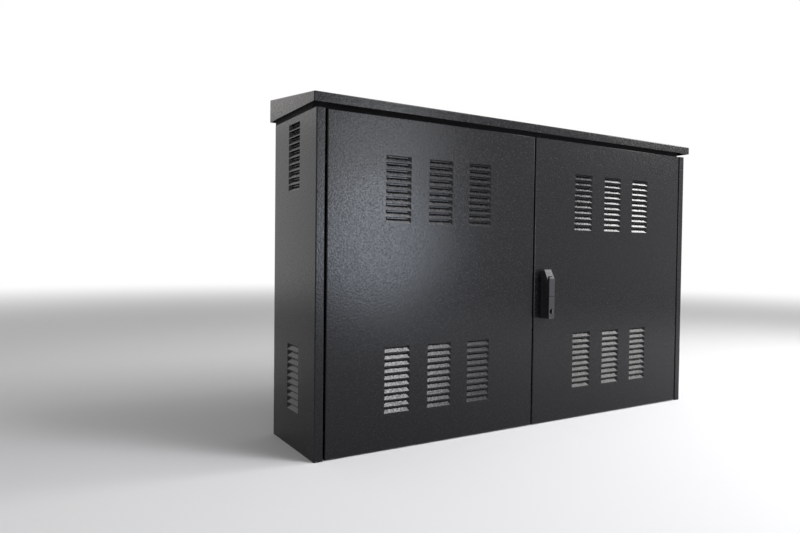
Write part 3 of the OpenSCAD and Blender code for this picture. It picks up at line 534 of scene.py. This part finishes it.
@dataclass(frozen=True)
class Screw:
    """Screw with a domed head and a recess for its driver.

    The dome's points and the recess's depth are shares of the head's radius and height. The hexagon and the
    cross's arm are shares of the recess's mouth.
    """

    radius: float
    height: float
    shank_radius: float
    shank_length: float
    drive: Drive = Drive.HEX
    steps: int = 36
    dome: Shares = ((1.0, 0.35), (0.93, 0.66), (0.78, 0.88))
    mouth: float = 0.5
    recess_depth: float = 0.6
    hexagon: float = 0.85
    cross_arm: float = 0.28
    least_cosine: float = 0.01

    def build(self) -> Shape:
        """Builds the screw, with its head standing on Z = 0 and pointing up.

        Returns:
            The screw's shape.
        """
        r, h = self.radius, self.height
        mouth = self.mouth * r
        shank = [(0, -self.shank_length), (self.shank_radius, -self.shank_length), (self.shank_radius, 0)]
        dome = [(wide * r, high * h) for wide, high in self.dome]
        shape = Shape().turned([*shank, (r, 0), *dome, (mouth, h)], self.steps)
        rim = [e for e in shape.mesh.edges if e.is_boundary]
        for vert in {v for e in rim for v in e.verts}:
            vert.co.xy = self.recess_point(math.atan2(vert.co.y, vert.co.x), mouth)
        deep = bmesh.ops.extrude_edge_only(shape.mesh, edges=rim)["geom"]
        shape.shift(deep, -self.recess_depth * h)
        bmesh.ops.holes_fill(shape.mesh, edges=[e for e in shape.mesh.edges if e.is_boundary])
        bmesh.ops.recalc_face_normals(shape.mesh, faces=shape.mesh.faces)
        return shape

    def recess_point(self, angle: float, mouth: float) -> Vector:
        """Finds the recess's rim in one direction.

        Args:
            angle: the direction about the screw's axis.
            mouth: the radius of the circle round the recess.

        Returns:
            The rim's point in the plane of the head.
        """
        if self.drive is Drive.HEX:
            reach = self.hexagon * mouth / math.cos((angle % (math.pi / 3)) - math.pi / 6)
        else:
            turn = abs((angle + math.pi / 4) % (math.pi / 2) - math.pi / 4)
            across, along = max(math.cos(turn), self.least_cosine), max(math.sin(turn), self.least_cosine)
            reach = min(mouth / across, self.cross_arm * mouth / along)
        return Vector((reach * math.cos(angle), reach * math.sin(angle)))


@dataclass
class Workshop:
    """Turns finished shapes into objects that wear a finish and ride on a body."""

    nodes: dict[str, bpy.types.Object]
    materials: dict[str, bpy.types.Material]
    smooth_angle: float = math.radians(40)

    def deliver(
        self, shape: Shape, name: str, body: Body, slot: Slot, replaces: tuple[str, ...] = ()
    ) -> None:
        """Makes an object of a shape.

        Args:
            shape: the finished shape, in place.
            name: the piece's name.
            body: the body that it rides on.
            slot: the slot that its finish comes from.
            replaces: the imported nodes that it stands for.
        """
        for edge in shape.mesh.edges:
            edge.smooth = edge.is_manifold and edge.calc_face_angle(0) < self.smooth_angle
        for face in shape.mesh.faces:
            face.smooth = True
        mesh = bpy.data.meshes.new(name)
        shape.mesh.to_mesh(mesh)
        shape.mesh.free()
        piece = bpy.data.objects.new(name, mesh)
        bpy.context.scene.collection.objects.link(piece)
        mesh.materials.append(self.materials[slot.value])
        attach(piece, body.value)
        if replaces:
            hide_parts(*replaces)
        log.info("piece %s rides on %s in %s, %d faces", name, body.value, slot.value, len(mesh.polygons))


@dataclass
class DoorSeals:
    """Foam gaskets behind the doors' rims and the two-lipped strip between the doors."""

    shop: Workshop
    gasket_width: float = 7 * MM
    gasket_round: float = 2.2 * MM
    round_steps: int = 5
    strip_web: float = 1.1 * MM
    lip_gap: float = 0.8 * MM
    lip_steps: int = 8

    def build(self) -> None:
        """Builds the three seals."""
        self.gasket("left_door_gasket", Body.LEFT_DOOR, 1)
        self.gasket("right_door_gasket", Body.RIGHT_DOOR, -1)
        self.centre_strip()

    def gasket(self, node: str, body: Body, side: int) -> None:
        """Builds one gasket: three runs of foam with a domed face towards the frame.

        Args:
            node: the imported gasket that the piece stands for.
            body: the door that carries it.
            side: 1 for the left door, whose hinge side has the lower X, or -1 for the right door.
        """
        low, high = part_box(node)
        hinge, free = (low.x, high.x) if side > 0 else (high.x, low.x)
        inner, w = hinge + side * self.gasket_width, self.gasket_width
        outline = [
            (hinge, low.z), (free, low.z), (free, low.z + w), (inner, low.z + w),
            (inner, high.z - w), (free, high.z - w), (free, high.z), (hinge, high.z),
        ]
        shape = Shape().prism([(x, -z) for x, z in outline], high.y - low.y)
        shape.aim(Toward.BACK, (0, low.y, 0))
        shape.soften(self.gasket_round, self.round_steps, shape.edges_past(1, high.y))
        self.shop.deliver(shape, node + "_foam", body, Slot.RUBBER, (node,))

    def centre_strip(self) -> None:
        """Builds the strip on the left door's free edge: a flat web with two round lips."""
        low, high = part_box("centre_seal")
        web = low.x + self.strip_web
        middle = (low.y + high.y) / 2
        outline = [(low.x, high.y), (low.x, low.y), (web, low.y)]
        for start, end in ((low.y, middle - self.lip_gap / 2), (middle + self.lip_gap / 2, high.y)):
            for step in range(1, self.lip_steps):
                turn = math.pi * step / self.lip_steps
                across = (start + end) / 2 - (end - start) / 2 * math.cos(turn)
                outline.append((web + (high.x - web) * math.sin(turn), across))
            if end < high.y:
                outline += [(web, end), (web, end + self.lip_gap)]
        outline.append((web, high.y))
        shape = Shape().prism(outline, high.z - low.z).aim(Toward.UP, (0, 0, low.z))
        self.shop.deliver(shape, "centre_seal_lips", Body.LEFT_DOOR, Slot.RUBBER, ("centre_seal",))


@dataclass
class HoodShadeBaffle:
    """Black foam baffle under the hood that closes the vent gap, a dark piece that paints the shade under the
    hood's overhang.
    """

    shop: Workshop
    overhang: float = 1 * MM
    width: float = 8 * MM
    height: float = 22 * MM
    rounding: float = 1.5 * MM
    round_steps: int = 3

    def build(self) -> None:
        """Builds the baffle on the rims of the top panel and the side panels."""
        low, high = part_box("top_panel")
        start = Vector((low.x - self.overhang, low.y, high.z))
        end = Vector((high.x + self.overhang, high.y + self.overhang, high.z + self.height))
        shape = Shape().frame(start, end, self.width)
        shape.soften(self.rounding, self.round_steps, shape.edges_past(2, end.z))
        # the baffle's black rubber is painted shade: it darkens the gap under the hood where the cabinet
        # shows only shade
        self.shop.deliver(shape, "hood_shade_baffle", Body.CABINET, Slot.RUBBER)


@dataclass
class VentFilters:
    """Filter cassettes behind the louvres: a foam pad in a shallow rubber frame.

    The banks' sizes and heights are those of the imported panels, whose boxes don't give them.
    """

    shop: Workshop
    louvre_reach: float = 7.5 * MM
    bank_height: float = 147.7 * MM
    bank_width: float = 65 * MM
    bank_spacing: float = 113.5 * MM
    margin: float = 9 * MM
    frame_width: float = 5 * MM
    rounding: float = 0.8 * MM
    round_steps: int = 2
    pad_gap: float = 1.5 * MM
    pad_depth: float = 3 * MM
    pad_inset: float = 1 * MM
    pad_overlap: float = 0.5 * MM
    sheet: float = 1.5 * MM
    lower_z: float = 156.5 * MM
    door_upper_z: float = 577 * MM
    side_upper_z: float = 647 * MM

    def build(self) -> None:
        """Builds the cassettes of the doors and of the side panels."""
        wide = (2 * self.bank_spacing + self.bank_width) / 2 + self.margin
        narrow = self.bank_width / 2 + self.margin
        for name, body in (("left_door", Body.LEFT_DOOR), ("right_door", Body.RIGHT_DOOR)):
            low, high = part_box(name + "_panel")
            middle = Vector(((low.x + high.x) / 2, low.y + self.sheet, 0))
            self.pair(name, body, Toward.BACK, middle, wide, self.door_upper_z)
        for name, toward in (("left", Toward.RIGHT), ("right", Toward.LEFT)):
            low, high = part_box("side_panel_" + name)
            x = low.x + self.sheet if toward is Toward.RIGHT else high.x - self.sheet
            self.pair("side_" + name, Body.CABINET, toward, Vector((x, 0, 0)), narrow, self.side_upper_z)

    def pair(
        self, name: str, body: Body, toward: Toward, at: Vector, half_width: float, upper: float
    ) -> None:
        """Builds the lower and the upper cassette of one panel.

        Args:
            name: the start of the pieces' names.
            body: the body that carries the panel.
            toward: the direction from the panel into the cabinet.
            at: the middle of the panel's inner face, at Z = 0.
            half_width: half of the cassette's width.
            upper: the height of the upper bank's middle.
        """
        half_height = self.bank_height / 2 + self.margin
        halves = (half_width, half_height) if toward is Toward.BACK else (half_height, half_width)
        for level, z in (("lower", self.lower_z), ("upper", upper)):
            cassette = self.cassette(*halves).aim(toward, at + Vector((0, 0, z)))
            self.shop.deliver(cassette, f"{name}_{level}_filter", body, Slot.RUBBER)

    def cassette(self, half_x: float, half_y: float) -> Shape:
        """Builds one cassette that stands on Z = 0.

        Args:
            half_x: half of the cassette's size along X.
            half_y: half of the cassette's size along Y.

        Returns:
            The cassette's shape.
        """
        deep = self.louvre_reach + self.pad_gap
        end = deep + self.pad_depth
        shape = Shape().frame((-half_x, -half_y, 0), (half_x, half_y, end), self.frame_width)
        shape.soften(self.rounding, self.round_steps, shape.edges_past(2, end))
        inner = self.frame_width - self.pad_overlap
        x, y = half_x - inner, half_y - inner
        pad = Shape().prism([(-x, -y), (x, -y), (x, y), (-x, y)], self.pad_depth - self.pad_inset)
        return shape.add(pad.aim(Toward.UP, (0, 0, deep)))


@dataclass
class BackRivets:
    """Blind rivets that hold the back panel to the side panels' rear flanges.

    The head's points are shares of its radius and height.
    """

    shop: Workshop
    radius: float = 3.4 * MM
    height: float = 1.1 * MM
    flange_width: float = 20 * MM
    end_gap: float = 40 * MM
    count: int = 9
    steps: int = 20
    head: Shares = (
        (0.0, 0.0), (1.0, 0.0), (1.0, 0.2), (0.9, 0.55), (0.65, 0.9), (0.38, 1.0), (0.3, 0.9), (0.28, 0.3),
        (0.0, 0.3),
    )

    def rivet(self) -> Shape:
        """Builds one rivet head with the hollow that its pin leaves."""
        head = [(wide * self.radius, high * self.height) for wide, high in self.head]
        return Shape().turned(head, self.steps)

    def build(self) -> None:
        """Builds a row of rivets along each side."""
        for name, node, side in (("left", "side_panel_left", 1), ("right", "side_panel_right", -1)):
            low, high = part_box(node)
            x = (low.x if side > 0 else high.x) + side * self.flange_width / 2
            step = (high.z - low.z - 2 * self.end_gap) / (self.count - 1)
            row = Shape()
            for i in range(self.count):
                row.add(self.rivet().aim(Toward.BACK, (x, high.y, low.z + self.end_gap + i * step)))
            self.shop.deliver(row, "back_rivets_" + name, Body.CABINET, Slot.CABINET)


@dataclass
class Screws:
    """Screws of the gland plate, the lock case and the handle, with their driver recesses."""

    shop: Workshop
    gland: Screw = Screw(4.5 * MM, 3 * MM, 2.4 * MM, 3.5 * MM, Drive.CROSS)
    case: Screw = Screw(3.2 * MM, 1.6 * MM, 1.9 * MM, 8.4 * MM)
    handle: Screw = Screw(5 * MM, 3 * MM, 1.95 * MM, 6 * MM)

    def build(self) -> None:
        """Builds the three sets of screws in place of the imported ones."""
        self.gland_screws()
        self.case_screws()
        self.handle_screws()

    def gland_screws(self) -> None:
        """Builds the six pan heads of the gland plate."""
        screw = self.gland
        low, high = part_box("gland_screws")
        row = Shape()
        for x in (low.x + screw.radius, (low.x + high.x) / 2, high.x - screw.radius):
            for y in (low.y + screw.radius, high.y - screw.radius):
                row.add(screw.build().aim(Toward.UP, (x, y, high.z - screw.height)))
        self.shop.deliver(row, "gland_screw_heads", Body.CABINET, Slot.ZINC, ("gland_screws",))

    def case_screws(self) -> None:
        """Builds the two button heads of the lock case's cover."""
        screw = self.case
        low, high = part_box("case_screws")
        row = Shape()
        for x in (low.x + screw.radius, high.x - screw.radius):
            row.add(screw.build().aim(Toward.BACK, (x, high.y - screw.height, (low.z + high.z) / 2)))
        self.shop.deliver(row, "case_screw_heads", Body.RIGHT_DOOR, Slot.ZINC, ("case_screws",))

    def handle_screws(self) -> None:
        """Builds the two button heads that hold the handle from inside the door."""
        screw = self.handle
        low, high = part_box("handle_screws")
        row = Shape()
        for z in (low.z + screw.radius, high.z - screw.radius):
            row.add(screw.build().aim(Toward.BACK, ((low.x + high.x) / 2, high.y - screw.height, z)))
        self.shop.deliver(row, "handle_screw_heads", Body.RIGHT_DOOR, Slot.ZINC, ("handle_screws",))


@dataclass
class KeyTrim:
    """Bezel round the lock cylinder's face and the wards of its keyway.

    The bezel's walls are shares of its height. Each ward has a side of the slot and a height over its middle,
    as a share of the cylinder's radius.
    """

    shop: Workshop
    bezel_outer: float = 7.3 * MM
    bezel_inner: float = 6.5 * MM
    bezel_height: float = 0.5 * MM
    bezel_steps: int = 48
    outer_wall: float = 0.6
    inner_wall: float = 0.7
    outer_chamfer: float = 0.15 * MM
    inner_chamfer: float = 0.1 * MM
    wards: tuple[tuple[int, float], ...] = ((-1, 0.22), (1, -0.12))
    ward_width: float = 0.9 * MM
    ward_height: float = 2.6 * MM
    ward_depth: float = 6 * MM
    ward_root: float = 0.2 * MM
    ward_round: float = 0.15 * MM
    ward_round_steps: int = 2
    ward_setback: float = 0.8 * MM
    slot_width: float = 3 * MM

    def build(self) -> None:
        """Builds the bezel and the wards on the cylinder's face."""
        low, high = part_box("lock_cylinder")
        x, z = (low.x + high.x) / 2, (low.z + high.z) / 2
        self.bezel(Vector((x, low.y, z)))
        self.keyway(x, low.y, z, (high.z - low.z) / 2)

    def bezel(self, at: Vector) -> None:
        """Builds the bezel.

        Args:
            at: the middle of the cylinder's face.
        """
        outer, inner, h = self.bezel_outer, self.bezel_inner, self.bezel_height
        ring = Shape().turned([
            (inner, -h), (outer, -h), (outer, self.outer_wall * h), (outer - self.outer_chamfer, h),
            (inner + self.inner_chamfer, h), (inner, self.inner_wall * h), (inner, -h),
        ], self.bezel_steps)
        self.shop.deliver(ring.aim(Toward.FRONT, at), "key_bezel", Body.KEY, Slot.LOCK)

    def keyway(self, x: float, y: float, z: float, radius: float) -> None:
        """Builds the wards in the key slot.

        Args:
            x: the slot's middle across the door.
            y: the cylinder's face.
            z: the slot's middle height.
            radius: the cylinder's radius.
        """
        wards = Shape()
        half = self.ward_height / 2
        for side, up in self.wards:
            near = x + side * (self.slot_width / 2 + self.ward_root)
            far = near - side * (self.ward_width + self.ward_root)
            ward = Shape().prism([(near, half), (near, -half), (far, -half), (far, half)], self.ward_depth)
            ward.soften(self.ward_round, self.ward_round_steps)
            wards.add(ward.aim(Toward.BACK, (0, y + self.ward_setback, z + up * radius)))
        self.shop.deliver(wards, "keyway_wards", Body.KEY, Slot.LOCK)


@dataclass
class BoltGrips:
    """Grooved sleeves on the knobs of the left door's barrel bolts."""

    shop: Workshop
    radius: float = 5.4 * MM
    length: float = 6 * MM
    overlap: float = 0.35 * MM
    grooves: int = 4
    groove_depth: float = 0.35 * MM
    slope: float = 0.3 * MM
    end_drop: float = 0.6 * MM

    def build(self) -> None:
        """Builds a sleeve on each bolt's grip."""
        for name, body in (("upper_bolt", Body.UPPER_BOLT), ("lower_bolt", Body.LOWER_BOLT)):
            self.sleeve(name, body)

    def sleeve(self, node: str, body: Body) -> None:
        """Builds one sleeve.

        Args:
            node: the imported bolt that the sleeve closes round.
            body: the bolt's body.
        """
        low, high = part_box(node)
        points = [v.co for v in self.shop.nodes[node].data.vertices if v.co.x < low.x + TOUCH]
        middle = sum(points, Vector()) / len(points)
        r, end, top = self.radius, self.radius - self.end_drop, self.length + self.overlap
        profile = [(0.0, -self.overlap), (end, -self.overlap), (r, self.slope)]
        for i in range(1, self.grooves):
            z = i * self.length / self.grooves
            profile += [(r, z - self.slope), (r - self.groove_depth, z), (r, z + self.slope)]
        profile += [(r, self.length - self.slope), (end, top), (0.0, top)]
        shape = Shape().turned(profile)
        shape.aim(Toward.LEFT, (low.x + self.length, middle.y, middle.z))
        self.shop.deliver(shape, node + "_grip", body, Slot.ZINC)


@dataclass
class HingeWelds:
    """Weld beads that hold the hinges' feet to the frame's lands."""

    shop: Workshop
    radius: float = 1.3 * MM
    pitch: float = 1.2 * MM
    foot_reach: float = 9.5 * MM
    axis_inset: float = 5 * MM
    end_gap: float = 1 * MM
    ripple_form: Point = (1.0, 0.7, 0.9)
    ripple_steps: tuple[int, int] = (12, 8)

    def build(self) -> None:
        """Builds the beads of both doors' hinges."""
        for name, node, side in (("left", "hinge_arms_left", 1), ("right", "hinge_arms_right", -1)):
            low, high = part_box(node)
            axis = (low.x if side > 0 else high.x) + side * self.axis_inset
            x = axis + side * self.foot_reach
            knuckle = self.knuckle(node)
            row = Shape()
            for base in (low.z, high.z - knuckle):
                row.add(self.bead(x, high.y, base + self.end_gap, base + knuckle - self.end_gap))
            self.shop.deliver(row, "hinge_welds_" + name, Body.CABINET, Slot.ZINC)

    def knuckle(self, node: str) -> float:
        """Finds the height of one hinge arm.

        Args:
            node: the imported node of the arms.

        Returns:
            The height.
        """
        low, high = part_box(node)
        lower = [v.co.z for v in self.shop.nodes[node].data.vertices if v.co.z < (low.z + high.z) / 2]
        return max(lower) - low.z

    def bead(self, x: float, y: float, low: float, high: float) -> Shape:
        """Builds one bead of overlapping ripples.

        Args:
            x: the bead's place across the frame.
            y: the face of the land.
            low: the bead's lower end.
            high: the bead's upper end.

        Returns:
            The bead's shape.
        """
        bead = Shape()
        around, over = self.ripple_steps
        for i in range(int((high - low) / self.pitch) + 1):
            ripple = Shape()
            bmesh.ops.create_uvsphere(ripple.mesh, u_segments=around, v_segments=over, radius=self.radius)
            bmesh.ops.scale(ripple.mesh, vec=self.ripple_form, verts=ripple.mesh.verts)
            bmesh.ops.translate(ripple.mesh, vec=(x, y, low + i * self.pitch), verts=ripple.mesh.verts)
            bead.add(ripple)
        return bead


@dataclass
class Dresser:
    """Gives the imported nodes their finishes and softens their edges."""

    frame: dict
    materials: dict[str, bpy.types.Material]
    weld: float = 0.02 * MM
    flat_angle: float = math.radians(0.5)
    edge: float = 0.35 * MM
    edge_steps: int = 2
    sharp_angle: float = math.radians(31)
    pressed: tuple[str, ...] = (
        "left_door_panel", "right_door_panel", "side_panel_left", "side_panel_right",
    )

    def dress_nodes(self) -> None:
        """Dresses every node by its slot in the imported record."""
        slots = {s["node"]: s["material_slot"] for s in self.frame["record"]["subparts"]}
        for name, node in self.frame["nodes"].items():
            node.data.materials.clear()
            node.data.materials.append(self.materials[slots[name]])
            self.soften(node)
            log.info("node %s wears %s", name, slots[name])

    def soften(self, node: bpy.types.Object) -> None:
        """Rounds a node's edges a little and shades its bends round, with modifiers only.

        Args:
            node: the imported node. Pressed panels keep their edges and only get creases.
        """
        node.data.polygons.foreach_set("use_smooth", [True] * len(node.data.polygons))
        weld = node.modifiers.new("weld", "WELD")
        weld.merge_threshold = self.weld
        if node.name in self.pressed:
            split = node.modifiers.new("creases", "EDGE_SPLIT")
            split.split_angle = self.sharp_angle
        else:
            self.round_edges(node)
        normals = node.modifiers.new("normals", "WEIGHTED_NORMAL")
        normals.keep_sharp = True

    def round_edges(self, node: bpy.types.Object) -> None:
        """Merges a node's coplanar triangles and rounds its sharp edges.

        Args:
            node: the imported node.
        """
        merge = node.modifiers.new("flats", "DECIMATE")
        merge.decimate_type = "DISSOLVE"
        merge.angle_limit = self.flat_angle
        bevel = node.modifiers.new("edges", "BEVEL")
        bevel.width = self.edge
        bevel.segments = self.edge_steps
        bevel.limit_method = "ANGLE"
        bevel.angle_limit = self.sharp_angle
        bevel.use_clamp_overlap = True


@dataclass(frozen=True)
class Lamp:
    """A round soft lamp that faces the middle of the cabinet."""

    name: str
    bearing: float
    height: float
    power: float
    color: Point = (1.0, 1.0, 1.0)
    distance: float = 3.2
    size: float = 0.9

    def build(self, target: Point) -> None:
        """Hangs the lamp.

        Args:
            target: the point that the lamp faces.
        """
        turn, rise = math.radians(self.bearing), math.radians(self.height)
        away = Vector((math.sin(turn) * math.cos(rise), -math.cos(turn) * math.cos(rise), math.sin(rise)))
        data = bpy.data.lights.new(self.name, "AREA")
        data.shape = "DISK"
        data.size = self.size
        data.energy = self.power
        data.color = self.color
        lamp = bpy.data.objects.new(self.name, data)
        lamp.location = Vector(target) + away * self.distance
        lamp.rotation_euler = (-away).to_track_quat("-Z", "Y").to_euler()
        bpy.context.scene.collection.objects.link(lamp)


LAMPS: tuple[Lamp, ...] = (
    Lamp("left_window", 20, 2, 20.0, (0.80, 0.88, 1.0)),
    Lamp("left_upper_window", 20, 14, 10.0, (0.92, 0.95, 1.0)),
    Lamp("left_sky", 30, 43, 36.0, (0.97, 0.97, 1.0)),
    Lamp("middle_sky", 38, 40, 7.0, (0.97, 0.97, 1.0)),
    Lamp("high_left_sky", 36, 55, 20.0, (0.97, 0.97, 1.0)),
    Lamp("right_window", 60, 24, 16.0, (1.0, 0.98, 0.96)),
    Lamp("right_sky", 75, 32, 35.0, (1.0, 0.99, 0.98)),
    Lamp("rear_left", -150, 24, 1.5, (1.0, 0.96, 0.92)),
    Lamp("overhead", 0, 82, 45.0, distance=7.0, size=5.0),
)


@dataclass
class Studio:
    """Pale floor, soft lights and the camera."""

    camera_place: Point = (-1.1183, -1.3227, 0.4390)
    yaw: float = 0.5410
    pitch: float = -0.0227
    roll: float = 0.0114
    lens: float = 28.38
    sensor: float = 36.0
    clip: tuple[float, float] = (0.01, 200.0)
    floor_size: float = 60.0
    floor_color: Point = (0.84, 0.84, 0.84)
    shadow_reach: tuple[float, float] = (2.2, 7.5)
    backdrop: Point = (1.0, 1.0, 1.0)
    ambient: float = 0.27
    target: Point = (0.0, 0.0, 0.4)

    def build(self) -> None:
        """Makes the whole studio."""
        self._camera()
        self._world()
        self._floor()
        for lamp in LAMPS:
            lamp.build(self.target)
        bpy.context.scene.view_settings.view_transform = "Standard"

    def _camera(self) -> None:
        """Places the camera where the photograph was taken from."""
        ahead = Vector((
            math.sin(self.yaw) * math.cos(self.pitch),
            math.cos(self.yaw) * math.cos(self.pitch),
            math.sin(self.pitch),
        ))
        level = Vector((math.cos(self.yaw), -math.sin(self.yaw), 0.0))
        above = level.cross(ahead)
        right = math.cos(self.roll) * level + math.sin(self.roll) * above
        up = right.cross(ahead)
        data = bpy.data.cameras.new("camera")
        data.lens = self.lens
        data.sensor_width = self.sensor
        data.clip_start, data.clip_end = self.clip
        camera = bpy.data.objects.new("camera", data)
        bpy.context.scene.collection.objects.link(camera)
        turn = Matrix((right, up, -ahead)).transposed()
        camera.matrix_world = Matrix.Translation(self.camera_place) @ turn.to_4x4()
        bpy.context.scene.camera = camera

    def _world(self) -> None:
        """Makes a world that looks white and lights the object gently."""
        world = bpy.data.worlds.new("studio")
        bpy.context.scene.world = world
        world.use_nodes = True
        nodes = NodeBuilder(world.node_tree)
        output = nodes.add("OutputWorld")
        shown = nodes.add("Background", Color=(*self.backdrop, 1), Strength=1.0)
        dim = nodes.add("Background", Color=(*self.backdrop, 1), Strength=self.ambient)
        mix = nodes.add("MixShader")
        nodes.link(self._seen(nodes), mix.inputs["Fac"])
        nodes.link(dim.outputs["Background"], mix.inputs[1])
        nodes.link(shown.outputs["Background"], mix.inputs[2])
        nodes.link(mix.outputs["Shader"], output.inputs["Surface"])

    def _seen(self, nodes: NodeBuilder) -> bpy.types.NodeSocket:
        """Adds the rays that see the backdrop: camera, glossy and transmission rays.

        Args:
            nodes: the node builder of the world or of the floor's material.

        Returns:
            The socket that is 1 for those rays.
        """
        rays = nodes.add("LightPath")
        first = nodes.add("Math", operation="MAXIMUM")
        both = nodes.add("Math", operation="MAXIMUM")
        nodes.link(rays.outputs["Is Camera Ray"], first.inputs[0])
        nodes.link(rays.outputs["Is Glossy Ray"], first.inputs[1])
        nodes.link(first.outputs[0], both.inputs[0])
        nodes.link(rays.outputs["Is Transmission Ray"], both.inputs[1])
        return both.outputs[0]

    def _floor(self) -> None:
        """Lays a wide matt floor that keeps the object's shadow."""
        mesh = bpy.data.meshes.new("floor")
        shape = bmesh.new()
        bmesh.ops.create_grid(shape, x_segments=1, y_segments=1, size=self.floor_size / 2)
        shape.to_mesh(mesh)
        shape.free()
        mesh.materials.append(self._floor_paint())
        floor = bpy.data.objects.new("floor", mesh)
        bpy.context.scene.collection.objects.link(floor)

    def _floor_paint(self) -> bpy.types.Material:
        """Makes the floor's material, which fades into the backdrop beyond the shadow's reach.

        Returns:
            The floor's material.
        """
        near, far = self.shadow_reach
        material = bpy.data.materials.new("pale_floor")
        material.use_nodes = True
        nodes = NodeBuilder(material.node_tree)
        output = nodes.add("OutputMaterial")
        matt = nodes.add("BsdfDiffuse", Color=(*self.floor_color, 1))
        glow = nodes.add("Emission", Color=(*self.backdrop, 1), Strength=1.0)
        place = nodes.add("TexCoord")
        reach = nodes.add("VectorMath", operation="LENGTH")
        nodes.link(place.outputs["Object"], reach.inputs[0])
        fade = nodes.add("MapRange", interpolation_type="SMOOTHSTEP", From_Min=near, From_Max=far)
        nodes.link(reach.outputs["Value"], fade.inputs["Value"])
        pale = nodes.add("Math", operation="MULTIPLY")
        nodes.link(self._seen(nodes), pale.inputs[0])
        nodes.link(fade.outputs["Result"], pale.inputs[1])
        mix = nodes.add("MixShader")
        nodes.link(pale.outputs[0], mix.inputs["Fac"])
        nodes.link(matt.outputs["BSDF"], mix.inputs[1])
        nodes.link(glow.outputs["Emission"], mix.inputs[2])
        nodes.link(mix.outputs["Shader"], output.inputs["Surface"])
        return material


def main() -> None:
    """Builds the scene."""
    logging.basicConfig(level=logging.INFO, format="%(name)s: %(message)s")
    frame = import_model()
    Studio().build()
    materials = {slot.value: finish.build() for slot, finish in FINISHES.items()}
    Dresser(frame, materials).dress_nodes()
    shop = Workshop(frame["nodes"], materials)
    for trim in (DoorSeals, HoodShadeBaffle, VentFilters, BackRivets, Screws, KeyTrim, BoltGrips, HingeWelds):
        trim(shop).build()


if __name__ == "__main__":
    main()
